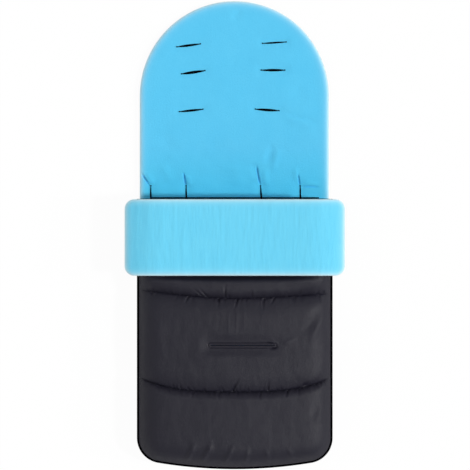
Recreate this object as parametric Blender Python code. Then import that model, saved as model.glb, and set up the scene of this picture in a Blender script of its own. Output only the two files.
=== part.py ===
"""A stroller footmuff, lying on its back with its cover zipped shut.

Metres, +Z up out of the lining, +Y towards the head, +X to the right as seen from above.
The origin is on the floor, under the middle of the footmuff. A padded mat lies on the stroller's seat,
and a quilted cover is closed over its lower part: a toe box that stays shut, and a lid that two side zips
let fold back over the toe box. A fleece cuff is turned down over the lid's upper end.
"""

import math

import bmesh
import bpy
from mathutils import Matrix, Vector

# Whole footmuff
LENGTH = 0.960
COVER_WIDTH = 0.401
CLEARANCE = 0.0003
CUT_OVERRUN = 0.004

# Fabrics and fillings
SHELL_THICKNESS = 0.0014
FLEECE_THICKNESS = 0.0030
TAPE_THICKNESS = 0.0008
PIPING_DIAMETER = 0.0040
PIPING_SHOWN_SHARE = 0.95

# Mat
MAT_SEAM_HEIGHT = 0.0105
MAT_THICKNESS = 0.0210
MAT_LOWER_ROLL = 0.0180
MAT_UPPER_ROLL = 0.0130

# Foot end, seen from above
FOOT_ARC_RADIUS = 0.960
FOOT_CORNER_RADIUS = 0.0520

# Cover: its rim stands on the piping, and its crown is level
COVER_RIM_HEIGHT = 0.0470
COVER_CROWN_HEIGHT = 0.1060
COVER_THICKNESS = 0.0168
SHOULDER_REACH = 0.0550
TOE_REACH = 0.0600
SHOULDER_POWER = 2.4
SEAM_DIP = 0.0090
SEAM_DIP_REACH = 0.0300
SEAM_GAP = 0.0006
COVER_LENGTH = 0.5540
HEM_DEPTH = 0.0034

# The two quilting seams: how far above the foot they lie in the middle, how far they rise at the sides,
# and how late they rise: a higher power keeps the seam level further out
UPPER_SEAM_REACH = 0.3510
UPPER_SEAM_RISE = 0.0130
UPPER_SEAM_POWER = 1.5
HINGE_SEAM_REACH = 0.1594
HINGE_SEAM_RISE = 0.0292
HINGE_SEAM_POWER = 3.2

# Cuff
CUFF_WIDTH = 0.450
CUFF_LENGTH = 0.1573
CUFF_SEAM_LIFT = 0.0090
CUFF_THICKNESS = 0.0195
CUFF_ROLL = 0.0130
CUFF_CORNER_RADIUS = 0.0200
CUFF_DROOP = 0.0240
CUFF_DROOP_START = 0.1500

# Slots in the mat for the harness: how far each middle lies to the right, and from one end of the mat
SLOT_LENGTH = 0.0520
SLOT_GAP = 0.0062
SLOT_WALL = 0.0010
SLOT_LIP = 0.0032
SLOT_LIP_THICKNESS = 0.0008
SHOULDER_SLOT_DROPS = {
    "shoulder_slot_left_upper": (-0.0947, 0.0908),
    "shoulder_slot_right_upper": (0.0813, 0.0852),
    "shoulder_slot_left_middle": (-0.0854, 0.1460),
    "shoulder_slot_right_middle": (0.0784, 0.1416),
    "shoulder_slot_left_lower": (-0.0895, 0.2244),
    "shoulder_slot_right_lower": (0.0666, 0.2233),
}
WAIST_SLOT_REACHES = {
    "waist_slot_left_outer": (-0.1725, 0.5565),
    "waist_slot_left_inner": (-0.0995, 0.5565),
    "waist_slot_right_inner": (0.0545, 0.5565),
    "waist_slot_right_outer": (0.1345, 0.5565),
}
CROTCH_SLOT_REACH = (-0.0060, 0.4200)
CROTCH_SLOT_LENGTH = 0.0620

# Welted slit in the lid
WELT_ACROSS = 0.0158
WELT_REACH = 0.2546
WELT_LENGTH = 0.1310
WELT_GAP = 0.0012
WELT_WALL = 0.0024
WELT_LIP = 0.0034
WELT_LIP_THICKNESS = 0.0010

# Zips, one down each side
CHAIN_HEIGHT = 0.0325
CHAIN_GAP = 0.0016
COIL_WIDTH = 0.0026
COIL_THICKNESS = 0.0018
COIL_RIB_PITCH = 0.0050
COIL_RIB_DEPTH_SHARE = 0.4
TAPE_TUCK = 0.0045
STOP_LENGTH = 0.0040
SLIDER_LENGTH = 0.0140
SLIDER_PLATE = 0.0012
SLIDER_FLANGE = 0.0012
SLIDER_REST_DROP = 0.0260
COVER_COIL_SETBACK = 0.0020
BRIDGE_LENGTH = 0.0090
BRIDGE_WIDTH = 0.0030
BRIDGE_BAR = 0.0012
BRIDGE_OPENING = 0.0028
PULL_LENGTH = 0.0340
PULL_WIDTH = 0.0080
PULL_THICKNESS = 0.0015
PULL_WINDOW_WIDTH = 0.0044
PULL_WINDOW_LENGTH = 0.0065
PULL_HOLE_RADIUS = 0.0018

# What follows from the sizes above
COVER_HALF = COVER_WIDTH / 2
HEAD_PLACE = LENGTH / 2
FOOT_PLACE = -LENGTH / 2
MOUTH_PLACE = FOOT_PLACE + COVER_LENGTH
UPPER_SEAM_PLACE = FOOT_PLACE + UPPER_SEAM_REACH
HINGE_SEAM_PLACE = FOOT_PLACE + HINGE_SEAM_REACH
WELT_PLACE = (WELT_ACROSS, FOOT_PLACE + WELT_REACH)
SLIDER_REST_PLACE = MOUTH_PLACE - SLIDER_REST_DROP
TAPE_OUTER = COVER_HALF - PIPING_DIAMETER - CLEARANCE
TAPE_INNER = TAPE_OUTER - TAPE_THICKNESS
MAT_HALF = TAPE_INNER - CLEARANCE
MAT_INSET = COVER_HALF - MAT_HALF
SHELL_INSET = PIPING_DIAMETER * PIPING_SHOWN_SHARE
SHELL_HALF = COVER_HALF - SHELL_INSET
PIPING_HEIGHT = COVER_RIM_HEIGHT - CLEARANCE - PIPING_DIAMETER / 2
COVER_RISE = COVER_CROWN_HEIGHT - COVER_RIM_HEIGHT
FLEECE_DEPTH = COVER_THICKNESS - FLEECE_THICKNESS
LID_END = MOUTH_PLACE - HEM_DEPTH - CLEARANCE
SIDE_SEAM_PLACE = HINGE_SEAM_PLACE + HINGE_SEAM_RISE
TAPE_TOP = COVER_RIM_HEIGHT - CLEARANCE
CUFF_BASE = COVER_CROWN_HEIGHT + CLEARANCE
CHAIN_HALF = CHAIN_GAP / 2
COIL_BASE = TAPE_OUTER + CLEARANCE
COIL_CREST = COIL_BASE + COIL_THICKNESS

# Points along each curve
ARC_STEPS = 24
CORNER_STEPS = 5
FOOT_STEPS = 8
ROLL_STEPS = 4
SLOT_END_STEPS = 4
SHOULDER_STEPS = 7
CROWN_STEPS = 4
DROOP_STEPS = 4
DIP_SHARES = (0.12, 0.35, 0.65, 1.0)

BLACK = (0.030, 0.029, 0.033)
BLUE = (0.105, 0.570, 0.900)
WHITE = (0.850, 0.850, 0.840)
STEEL = (0.060, 0.060, 0.065)


def clear_scene():
    for obj in list(bpy.data.objects):
        bpy.data.objects.remove(obj, do_unlink=True)


def material(name, color, roughness, metallic=0.0):
    found = bpy.data.materials.get(name)
    if found:
        return found
    made = bpy.data.materials.new(name)
    made.use_nodes = True
    shader = made.node_tree.nodes["Principled BSDF"]
    shader.inputs["Base Color"].default_value = (*color, 1)
    shader.inputs["Roughness"].default_value = roughness
    shader.inputs["Metallic"].default_value = metallic
    return made


def black_shell():
    return material("black_polyester", BLACK, 0.55)


def blue_fleece():
    return material("blue_fleece", BLUE, 0.95)


def wadding():
    return material("white_wadding", WHITE, 0.9)


def black_trim():
    return material("black_trim", BLACK, 0.6)


def zip_plastic():
    return material("zip_plastic", BLACK, 0.35)


def zip_metal():
    return material("zip_metal", STEEL, 0.3, 1.0)


def new_object(name, mesh, finish):
    obj = bpy.data.objects.new(name, mesh)
    bpy.context.scene.collection.objects.link(obj)
    obj.data.materials.append(finish)
    return obj


def finish_mesh(name, bm, finish, smooth=True):
    """Closes off a mesh under construction as an object, its faces pointing out."""
    bmesh.ops.recalc_face_normals(bm, faces=bm.faces)
    mesh = bpy.data.meshes.new(name)
    bm.to_mesh(mesh)
    bm.free()
    if smooth:
        mesh.shade_smooth()
        mesh.set_sharp_from_angle(angle=math.radians(40))
    return new_object(name, mesh, finish)


def loft_rings(name, rings, finish, closed=False):
    """Skins rings of as many points each. The end rings are capped, or joined to each other."""
    bm = bmesh.new()
    loops = [[bm.verts.new(point) for point in ring] for ring in rings]
    pairs = list(zip(loops, loops[1:]))
    if closed:
        pairs.append((loops[-1], loops[0]))
    for lower, upper in pairs:
        for i in range(len(lower)):
            j = (i + 1) % len(lower)
            bm.faces.new((lower[i], lower[j], upper[j], upper[i]))
    if not closed:
        bm.faces.new(loops[0])
        bm.faces.new(loops[-1])
    return finish_mesh(name, bm, finish)


def solid_between(name, outer, inner, finish):
    """A closed sheet between two grids of as many rows and columns."""
    bm = bmesh.new()
    top = [[bm.verts.new(point) for point in row] for row in outer]
    under = [[bm.verts.new(point) for point in row] for row in inner]
    rows, columns = len(top), len(top[0])
    for i in range(rows - 1):
        for j in range(columns - 1):
            bm.faces.new((top[i][j], top[i + 1][j], top[i + 1][j + 1], top[i][j + 1]))
            bm.faces.new((under[i][j], under[i][j + 1], under[i + 1][j + 1], under[i + 1][j]))
    border = [(0, j) for j in range(columns)]
    border += [(i, columns - 1) for i in range(1, rows)]
    border += [(rows - 1, j) for j in range(columns - 2, -1, -1)]
    border += [(i, 0) for i in range(rows - 2, 0, -1)]
    for (i, j), (k, m) in zip(border, border[1:] + border[:1]):
        bm.faces.new((top[i][j], top[k][m], under[k][m], under[i][j]))
    return finish_mesh(name, bm, finish)


def prism(name, outline, offset, finish, hidden=False):
    """An outline of 3-D points pushed straight along an offset."""
    bm = bmesh.new()
    face = bm.faces.new([bm.verts.new(point) for point in outline])
    pushed = bmesh.ops.extrude_face_region(bm, geom=[face])
    moved = [v for v in pushed["geom"] if isinstance(v, bmesh.types.BMVert)]
    bmesh.ops.translate(bm, verts=moved, vec=offset)
    obj = finish_mesh(name, bm, finish, smooth=False)
    if hidden:
        hide_tool(obj)
    return obj


def box(name, low, high, finish, hidden=False):
    outline = [
        (low[0], low[1], low[2]),
        (high[0], low[1], low[2]),
        (high[0], high[1], low[2]),
        (low[0], high[1], low[2]),
    ]
    return prism(name, outline, Vector((0, 0, high[2] - low[2])), finish, hidden)


def hide_tool(obj):
    obj.hide_render = True
    obj.display_type = "WIRE"


def cut(obj, tool, operation="DIFFERENCE"):
    modifier = obj.modifiers.new(operation.lower(), "BOOLEAN")
    modifier.operation = operation
    modifier.object = tool
    modifier.solver = "EXACT"


def tube(name, points, radius, finish):
    """A round cord through the points."""
    curve = bpy.data.curves.new(name, "CURVE")
    curve.dimensions = "3D"
    curve.bevel_depth = radius
    curve.bevel_resolution = 2
    curve.use_fill_caps = True
    spline = curve.splines.new("POLY")
    spline.points.add(len(points) - 1)
    for spot, point in zip(spline.points, points):
        spot.co = (*point, 1)
    return new_object(name, curve, finish)


def arc(center, radius, start, end, steps):
    """Points on a circle, angles in radians, both ends included."""
    angles = [start + (end - start) * i / steps for i in range(steps + 1)]
    return [(center[0] + radius * math.cos(a), center[1] + radius * math.sin(a)) for a in angles]


def foot_corner(inset):
    """Middle of the right foot corner's round, and the angle where it meets the foot's long arc."""
    radius = FOOT_CORNER_RADIUS
    across = COVER_HALF - radius
    down = math.sqrt((FOOT_ARC_RADIUS - radius) ** 2 - across**2)
    center = (across, FOOT_PLACE + FOOT_ARC_RADIUS - down)
    meeting = -math.atan2(down, across)
    return center, radius - inset, meeting


def foot_path(inset, start_place):
    """The foot end's outline from the left side, round the foot and up the right side."""
    center, radius, meeting = foot_corner(inset)
    middle = (0, FOOT_PLACE + FOOT_ARC_RADIUS)
    right = arc(center, radius, meeting, 0, CORNER_STEPS)
    left = [(-x, y) for x, y in reversed(right)]
    foot = arc(middle, FOOT_ARC_RADIUS - inset, -math.pi - meeting, meeting, FOOT_STEPS)
    side = COVER_HALF - inset
    return [(-side, start_place)] + left + foot[1:-1] + right + [(side, start_place)]


def foot_edge(x, inset):
    """How far down the foot outline lies at a place across it."""
    center, radius, meeting = foot_corner(inset)
    across = min(abs(x), COVER_HALF - inset)
    if across > center[0] + radius * math.cos(meeting):
        return center[1] - math.sqrt(max(radius**2 - (across - center[0]) ** 2, 0))
    long_radius = FOOT_ARC_RADIUS - inset
    return FOOT_PLACE + FOOT_ARC_RADIUS - math.sqrt(long_radius**2 - across**2)


def mat_outline(inset):
    """The mat's outline: a half-round head, straight sides and the shallow foot."""
    head_center = (0, HEAD_PLACE - MAT_HALF)
    head = arc(head_center, MAT_HALF - inset, 0, math.pi, ARC_STEPS)
    sides = foot_path(MAT_INSET + inset, head_center[1])
    return sides[:-1] + head[:-1]


def mat_ring(inset, height):
    return [Vector((x, y, height)) for x, y in mat_outline(inset)]


def roll(inset_reach, seam_height, face_height, depth):
    """A quarter-round edge from the face in to the seam, as insets and heights, at a depth under it."""
    steps = [math.pi / 2 * i / ROLL_STEPS for i in range(ROLL_STEPS + 1)]
    drop = seam_height - face_height
    shrink = math.copysign(depth, drop)
    return [
        (inset_reach - (inset_reach - depth) * math.sin(a), seam_height - (drop - shrink) * math.cos(a))
        for a in steps
    ]


def slot_outline(place, length, gap, offset, upright):
    """A long slot with round ends, seen from above, grown by an offset."""
    radius = gap / 2 + offset
    reach = length / 2 - gap / 2
    ends = arc((reach, 0), radius, -math.pi / 2, math.pi / 2, SLOT_END_STEPS)
    points = ends + [(-x, -y) for x, y in ends]
    if upright:
        points = [(-y, x) for x, y in points]
    return [(place[0] + x, place[1] + y) for x, y in points]


def mat_slots():
    """Every slot in the mat: name, place, length and whether it runs along the mat."""
    slots = []
    for name, (across, drop) in SHOULDER_SLOT_DROPS.items():
        slots.append((name, (across, HEAD_PLACE - drop), SLOT_LENGTH, False))
    for name, (across, reach) in WAIST_SLOT_REACHES.items():
        slots.append((name, (across, FOOT_PLACE + reach), SLOT_LENGTH, True))
    across, reach = CROTCH_SLOT_REACH
    slots.append(("crotch_slot", (across, FOOT_PLACE + reach), CROTCH_SLOT_LENGTH, False))
    return slots


def build_mat():
    """Black shell underneath, wadding, and the fleece lining on top, all three slotted for the harness."""
    outer = roll(MAT_LOWER_ROLL, MAT_SEAM_HEIGHT, 0, 0)
    inner = roll(MAT_LOWER_ROLL, MAT_SEAM_HEIGHT, 0, SHELL_THICKNESS)
    shell_rings = [mat_ring(inset, height) for inset, height in outer + inner[::-1]]
    shell = loft_rings("back_shell", shell_rings, black_shell())

    split = MAT_SEAM_HEIGHT + CLEARANCE
    outer = roll(MAT_UPPER_ROLL, split, MAT_THICKNESS, 0)
    inner = roll(MAT_UPPER_ROLL, split, MAT_THICKNESS, FLEECE_THICKNESS)
    fleece_rings = [mat_ring(inset, height) for inset, height in outer + inner[::-1]]
    fleece = loft_rings("back_lining", fleece_rings, blue_fleece())

    lower = roll(MAT_LOWER_ROLL, MAT_SEAM_HEIGHT, 0, SHELL_THICKNESS + CLEARANCE)
    upper = roll(MAT_UPPER_ROLL, split, MAT_THICKNESS, FLEECE_THICKNESS + CLEARANCE)
    fill_rings = [mat_ring(inset, height) for inset, height in lower[:-1] + upper[::-1]]
    fill = loft_rings("back_wadding", fill_rings, wadding())

    tools = []
    for name, place, length, upright in mat_slots():
        edge = slot_outline(place, length, SLOT_GAP, SLOT_WALL + CLEARANCE, upright)
        bottom = [(x, y, -CUT_OVERRUN) for x, y in edge]
        depth = Vector((0, 0, MAT_THICKNESS + 2 * CUT_OVERRUN))
        tools.append(prism("tool_" + name, bottom, depth, black_trim(), hidden=True))
        build_slot_binding(name + "_binding", place, length, upright)
    for layer in (shell, fleece, fill):
        for tool in tools:
            cut(layer, tool)


def build_slot_binding(name, place, length, upright):
    """The stitched sleeve that lines a slot, with a lip on the fleece."""
    lip_under = MAT_THICKNESS + CLEARANCE
    section = [
        (0, CLEARANCE),
        (0, lip_under + SLOT_LIP_THICKNESS),
        (SLOT_LIP, lip_under + SLOT_LIP_THICKNESS),
        (SLOT_LIP, lip_under),
        (SLOT_WALL, lip_under),
        (SLOT_WALL, CLEARANCE),
    ]
    rings = []
    for offset, height in section:
        edge = slot_outline(place, length, SLOT_GAP, offset, upright)
        rings.append([Vector((x, y, height)) for x, y in edge])
    return loft_rings(name, rings, black_trim(), closed=True)


def swell(share):
    """How far a rounded edge has risen at a share of its reach, from 0 to 1."""
    return (1 - (1 - min(share, 1)) ** SHOULDER_POWER) ** (1 / SHOULDER_POWER)


def edge_shares(steps):
    """Shares of a rounded edge's reach, close together where it stands steepest."""
    return [1 - math.cos(math.pi / 2 * i / steps) ** (2 / SHOULDER_POWER) for i in range(steps + 1)]


def cover_columns(depth):
    """Places across the cover with how far its arch has risen there, at a depth under the surface."""
    reach = SHOULDER_REACH - depth
    crown_half = SHELL_HALF - SHOULDER_REACH
    right = [(crown_half + reach * (1 - share), swell(share)) for share in edge_shares(SHOULDER_STEPS)]
    flat = [crown_half * (1 - 2 * i / CROWN_STEPS) for i in range(1, CROWN_STEPS)]
    left = [(-x, rise) for x, rise in right]
    return left + [(-x, 1) for x in flat] + right[::-1]


def upper_seam(x):
    """The upper quilting seam's place at a place across the cover: lowest in the middle."""
    return UPPER_SEAM_PLACE + UPPER_SEAM_RISE * (abs(x) / SHELL_HALF) ** UPPER_SEAM_POWER


def hinge_seam(x):
    """The lower quilting seam's place, where the lid folds back."""
    return HINGE_SEAM_PLACE + HINGE_SEAM_RISE * (abs(x) / SHELL_HALF) ** HINGE_SEAM_POWER


def seam_dip(distance, reach):
    """How deep the quilting draws the cover in at a distance from a seam."""
    return SEAM_DIP * (1 - swell(min(abs(distance) / reach, 1)))


def cover_height(rise, depth, dip):
    return COVER_RIM_HEIGHT + (COVER_RISE - depth) * rise - dip * rise


def lid_grid(depth, dipped):
    """The lid's surface from the hinge seam up to the mouth, at a depth under its crown."""
    lower = [("hinge", share * SEAM_DIP_REACH) for share in (0, *DIP_SHARES)]
    below = [("upper", -share * SEAM_DIP_REACH) for share in reversed(DIP_SHARES)]
    above = [("upper", share * SEAM_DIP_REACH) for share in (0, *DIP_SHARES)]
    rows = lower + below + above + [("mouth", 0)]
    grid = []
    for seam, along in rows:
        line = []
        for x, rise in cover_columns(depth):
            hinge, upper = hinge_seam(x), upper_seam(x)
            y = {"hinge": hinge + SEAM_GAP / 2, "upper": upper, "mouth": LID_END}[seam] + along
            dip = 0
            if dipped:
                dip = max(seam_dip(y - hinge, SEAM_DIP_REACH), seam_dip(y - upper, SEAM_DIP_REACH))
            line.append(Vector((x, y, cover_height(rise, depth, dip))))
        grid.append(line)
    return grid


def toe_grid(depth, dipped):
    """The toe box's surface from the hinge seam down to the foot."""
    reach = TOE_REACH - depth
    seam_rows = [share * SEAM_DIP_REACH for share in (0, *DIP_SHARES)]
    foot_rows = [(reach * share, swell(share)) for share in reversed(edge_shares(SHOULDER_STEPS))]
    grid = []
    for along in seam_rows:
        line = []
        for x, rise in cover_columns(depth):
            dip = seam_dip(along, SEAM_DIP_REACH) if dipped else 0
            height = cover_height(rise, depth, dip)
            line.append(Vector((x, hinge_seam(x) - SEAM_GAP / 2 - along, height)))
        grid.append(line)
    for from_foot, foot_rise in foot_rows:
        line = []
        for x, rise in cover_columns(depth):
            y = foot_edge(x, SHELL_INSET + depth) + from_foot
            line.append(Vector((x, y, cover_height(rise * foot_rise, depth, 0))))
        grid.append(line)
    return grid


def build_cover_layers(part, grid):
    """Black shell, wadding and fleece of the lid or the toe box, quilted along the seams."""
    shell = solid_between(part + "_shell", grid(0, True), grid(SHELL_THICKNESS, True), black_shell())
    fill_top = grid(SHELL_THICKNESS + CLEARANCE, True)
    fill = solid_between(part + "_wadding", fill_top, grid(FLEECE_DEPTH - CLEARANCE, False), wadding())
    lining = solid_between(
        part + "_lining", grid(FLEECE_DEPTH, False), grid(COVER_THICKNESS, False), blue_fleece()
    )
    return shell, fill, lining


def build_toe_box():
    """The lower part of the cover, sewn all round, on a fabric wall that stands on the mat's edge."""
    build_cover_layers("toe", toe_grid)
    start = SIDE_SEAM_PLACE - SEAM_GAP / 2
    outer = foot_path(COVER_HALF - TAPE_OUTER, start)
    inner = foot_path(COVER_HALF - TAPE_INNER, start)
    bottom, top = MAT_SEAM_HEIGHT - TAPE_TUCK, TAPE_TOP
    wall = [[Vector((x, y, z)) for x, y in outer] for z in (bottom, top)]
    back = [[Vector((x, y, z)) for x, y in inner] for z in (bottom, top)]
    solid_between("foot_wall", wall, back, black_shell())
    radius = PIPING_DIAMETER / 2
    path = [(x, y, PIPING_HEIGHT) for x, y in foot_path(radius, start)]
    tube("toe_piping", path, radius, black_trim())


def build_lid():
    """The upper part of the cover, with its welted slit, its mouth hem and its piped sides."""
    layers = build_cover_layers("lid", lid_grid)
    edge = slot_outline(WELT_PLACE, WELT_LENGTH, WELT_GAP, WELT_WALL + CLEARANCE, False)
    low = COVER_CROWN_HEIGHT - COVER_THICKNESS - CUT_OVERRUN
    bottom = [(x, y, low) for x, y in edge]
    depth = Vector((0, 0, COVER_THICKNESS + 2 * CUT_OVERRUN))
    tool = prism("tool_welt", bottom, depth, black_trim(), hidden=True)
    for layer in layers:
        cut(layer, tool)
    build_welt()

    hem_rows = (LID_END + CLEARANCE, MOUTH_PLACE - CLEARANCE)
    outer = [[Vector((x, y, cover_height(r, 0, 0))) for x, r in cover_columns(0)] for y in hem_rows]
    inner = [
        [Vector((x, y, cover_height(r, COVER_THICKNESS, 0))) for x, r in cover_columns(COVER_THICKNESS)]
        for y in hem_rows
    ]
    solid_between("mouth_hem", outer, inner, black_trim())

    radius = PIPING_DIAMETER / 2
    for side, word in ((-1, "left"), (1, "right")):
        x = side * (COVER_HALF - radius)
        start = (x, SIDE_SEAM_PLACE + SEAM_GAP / 2, PIPING_HEIGHT)
        end = (x, MOUTH_PLACE - CLEARANCE, PIPING_HEIGHT)
        tube("lid_piping_" + word, [start, end], radius, black_trim())


def build_welt():
    """Two folded lips round a slit that they close, joined at its ends."""
    lip_under = COVER_CROWN_HEIGHT + CLEARANCE
    lip_top = lip_under + WELT_LIP_THICKNESS
    foot = COVER_CROWN_HEIGHT - COVER_THICKNESS
    section = [
        (0, foot),
        (0, lip_top),
        (WELT_LIP, lip_top),
        (WELT_LIP, lip_under),
        (WELT_WALL, lip_under),
        (WELT_WALL, foot),
    ]
    rings = []
    for offset, height in section:
        edge = slot_outline(WELT_PLACE, WELT_LENGTH, WELT_GAP, offset, False)
        rings.append([Vector((x, y, height)) for x, y in edge])
    return loft_rings("lid_welt", rings, black_shell(), closed=True)


def cuff_places(half, depth):
    """Places from the cuff's middle out to its edge, with how far its face has risen there."""
    reach = CUFF_ROLL - depth
    flat = half - CUFF_ROLL
    rolled = [(flat + reach * (1 - share), swell(share)) for share in edge_shares(ROLL_STEPS)]
    return rolled[::-1]


def cuff_grid(height, depth, sign):
    """The cuff's upper or lower face, from its seam to a height, at a depth under its surface."""
    half = CUFF_WIDTH / 2
    middle = MOUTH_PLACE - CUFF_LENGTH / 2
    seam = CUFF_BASE + CUFF_SEAM_LIFT + sign * CLEARANCE / 2
    spread = half - CUFF_ROLL - CUFF_DROOP_START
    bend = [(CUFF_DROOP_START + spread * i / DROOP_STEPS, 1) for i in range(DROOP_STEPS)]
    right = [(0, 1)] + bend + cuff_places(half, depth)
    across = [(-x, rise) for x, rise in right[:0:-1]] + right
    upper = cuff_places(CUFF_LENGTH / 2, depth)
    along = [(-y, rise) for y, rise in reversed(upper)] + upper
    radius = CUFF_CORNER_RADIUS - depth
    grid = []
    for y, rise_along in along:
        line = []
        for x, rise_across in across:
            over = max(abs(x) - (half - CUFF_CORNER_RADIUS), 0)
            pulled = radius - math.sqrt(max(radius**2 - over**2, 0))
            hang = max(abs(x) - CUFF_DROOP_START, 0) / (half - CUFF_DROOP_START)
            z = seam + sign * (height - depth) * rise_across * rise_along - CUFF_DROOP * hang**2
            line.append(Vector((x, middle + y - math.copysign(pulled, y), z)))
        grid.append(line)
    return grid


def build_cuff():
    """A padded fleece band: a face and a back sewn together round their edge, with wadding inside."""
    upper = CUFF_THICKNESS - CUFF_SEAM_LIFT
    lower = CUFF_SEAM_LIFT
    inset = FLEECE_THICKNESS
    fill_inset = FLEECE_THICKNESS + CLEARANCE
    solid_between("cuff_face", cuff_grid(upper, 0, 1), cuff_grid(upper, inset, 1), blue_fleece())
    solid_between("cuff_back", cuff_grid(lower, 0, -1), cuff_grid(lower, inset, -1), blue_fleece())
    top, under = cuff_grid(upper, fill_inset, 1), cuff_grid(lower, fill_inset, -1)
    solid_between("cuff_wadding", top, under, wadding())


def rib_outline(start, end, pitch):
    """A coil's side view from one place to another: flat at the back, ribbed in front."""
    count = max(int((end - start) / pitch), 2)
    step = (end - start) / count
    valley = COIL_CREST - COIL_THICKNESS * COIL_RIB_DEPTH_SHARE
    points = [(COIL_BASE, start), (valley, start)]
    for i in range(count):
        points.append((COIL_CREST, start + step * (i + 0.5)))
        points.append((valley, start + step * (i + 1)))
    return points + [(COIL_BASE, end)]


def side_box(name, side, across, along, up, finish):
    """A block beside the zip: places across are measured outwards from the middle of the footmuff."""
    xs = sorted(side * x for x in across)
    return box(name, (xs[0], along[0], up[0]), (xs[1], along[1], up[1]), finish)


def build_zip(side, word):
    """One side zip: two tapes, two coils, their stops, and the slider with its pull."""
    start = SIDE_SEAM_PLACE + SEAM_GAP / 2
    end = MOUTH_PLACE - CLEARANCE
    tape = (TAPE_INNER, TAPE_OUTER)
    coil = (COIL_BASE, COIL_CREST)
    low_edge, high_edge = CHAIN_HEIGHT - CHAIN_HALF, CHAIN_HEIGHT + CHAIN_HALF
    tape_foot = MAT_SEAM_HEIGHT - TAPE_TUCK
    side_box("mat_zip_tape_" + word, side, tape, (start, end), (tape_foot, low_edge), black_trim())
    side_box("lid_zip_tape_" + word, side, tape, (start, end), (high_edge, TAPE_TOP), black_trim())

    row_start = start + STOP_LENGTH + CLEARANCE
    slider_end = SLIDER_REST_PLACE + SLIDER_LENGTH
    mat_row_end = slider_end + STOP_LENGTH
    lid_row_end = SLIDER_REST_PLACE - COVER_COIL_SETBACK - STOP_LENGTH - CLEARANCE
    rows = (
        ("mat_coil_", low_edge - COIL_WIDTH, mat_row_end),
        ("lid_coil_", high_edge, lid_row_end),
    )
    for name, height, row_end in rows:
        ribs = rib_outline(row_start, row_end, COIL_RIB_PITCH)
        outline = [(side * x, y, height) for x, y in ribs]
        prism(name + word, outline, Vector((0, 0, COIL_WIDTH)), zip_plastic())
    mat_band = (low_edge - COIL_WIDTH, low_edge)
    lid_band = (high_edge, high_edge + COIL_WIDTH)
    stops = (
        ("bottom_stop_", start, mat_band),
        ("mat_top_stop_", mat_row_end + CLEARANCE, mat_band),
        ("lid_top_stop_", lid_row_end + CLEARANCE, lid_band),
    )
    for name, place, band in stops:
        side_box(name + word, side, coil, (place, place + STOP_LENGTH), band, zip_metal())
    build_slider(side, word)


def build_slider(side, word):
    """A channel that both coils run in, with a bridge on its outer plate that holds the pull."""
    plate_in = COIL_CREST + CLEARANCE
    plate_out = plate_in + SLIDER_PLATE
    back_out = TAPE_INNER - CLEARANCE
    back_in = back_out - SLIDER_PLATE
    flange_foot = TAPE_OUTER + CLEARANCE
    channel = CHAIN_HALF + COIL_WIDTH + CLEARANCE
    half = channel + SLIDER_FLANGE
    web = CHAIN_HALF - CLEARANCE
    quarter = [
        (plate_out, half),
        (flange_foot, half),
        (flange_foot, channel),
        (plate_in, channel),
        (plate_in, web),
        (back_out, web),
        (back_out, half),
        (back_in, half),
    ]
    section = quarter + [(x, -z) for x, z in reversed(quarter)]
    outline = [(side * x, SLIDER_REST_PLACE, CHAIN_HEIGHT + z) for x, z in section]
    slider = prism("slider_" + word, outline, Vector((0, SLIDER_LENGTH, 0)), zip_metal())

    pivot_place = SLIDER_REST_PLACE + SLIDER_LENGTH / 2
    reach = BRIDGE_LENGTH / 2
    foot = reach - BRIDGE_BAR
    roof = plate_out + BRIDGE_OPENING
    top = roof + BRIDGE_BAR
    sunk = plate_out - SLIDER_PLATE / 2
    arch = [(sunk, -reach), (top, -reach), (top, reach), (sunk, reach)]
    arch += [(sunk, foot), (roof, foot), (roof, -foot), (sunk, -foot)]
    arch_outline = [
        (side * x, pivot_place + y, CHAIN_HEIGHT - BRIDGE_WIDTH / 2) for x, y in arch
    ]
    bridge = prism("tool_bridge_" + word, arch_outline, Vector((0, 0, BRIDGE_WIDTH)), zip_metal(), True)
    cut(slider, bridge, "UNION")
    build_pull(side, word, plate_out + BRIDGE_OPENING / 2, pivot_place)


def build_pull(side, word, pivot_across, pivot_place):
    """A flat pull whose end bar turns under the slider's bridge, modelled about that bar."""
    half = PULL_THICKNESS / 2
    width = PULL_WIDTH / 2
    end = PULL_LENGTH - width
    plan = [(half, -width)] + [
        (-end - width * math.sin(a), -width * math.cos(a))
        for a in [math.pi * i / CORNER_STEPS for i in range(CORNER_STEPS + 1)]
    ]
    plan += [(half, width)]
    outline = [(-half, y, z) for y, z in plan]
    pull = prism("pull_" + word, outline, Vector((PULL_THICKNESS, 0, 0)), zip_metal())
    window_end = -half - PULL_WINDOW_LENGTH
    window = box(
        "tool_window_" + word,
        (-half - CUT_OVERRUN, window_end, -PULL_WINDOW_WIDTH / 2),
        (half + CUT_OVERRUN, -half, PULL_WINDOW_WIDTH / 2),
        zip_metal(),
        True,
    )
    ring = arc((-end, 0), PULL_HOLE_RADIUS, 0, 2 * math.pi, 2 * CORNER_STEPS)[:-1]
    hole_outline = [(-half - CUT_OVERRUN, y, z) for y, z in ring]
    hole_depth = Vector((PULL_THICKNESS + 2 * CUT_OVERRUN, 0, 0))
    hole = prism("tool_hole_" + word, hole_outline, hole_depth, zip_metal(), True)
    pivot = bpy.data.objects.new("pull_pivot_" + word, None)
    bpy.context.scene.collection.objects.link(pivot)
    pivot.matrix_world = Matrix.Translation((side * pivot_across, pivot_place, CHAIN_HEIGHT))
    for piece in (pull, window, hole):
        piece.parent = pivot
    cut(pull, window)
    cut(pull, hole)


def build():
    clear_scene()
    build_mat()
    build_toe_box()
    build_lid()
    build_cuff()
    for side, word in ((-1, "left"), (1, "right")):
        build_zip(side, word)


build()
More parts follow.
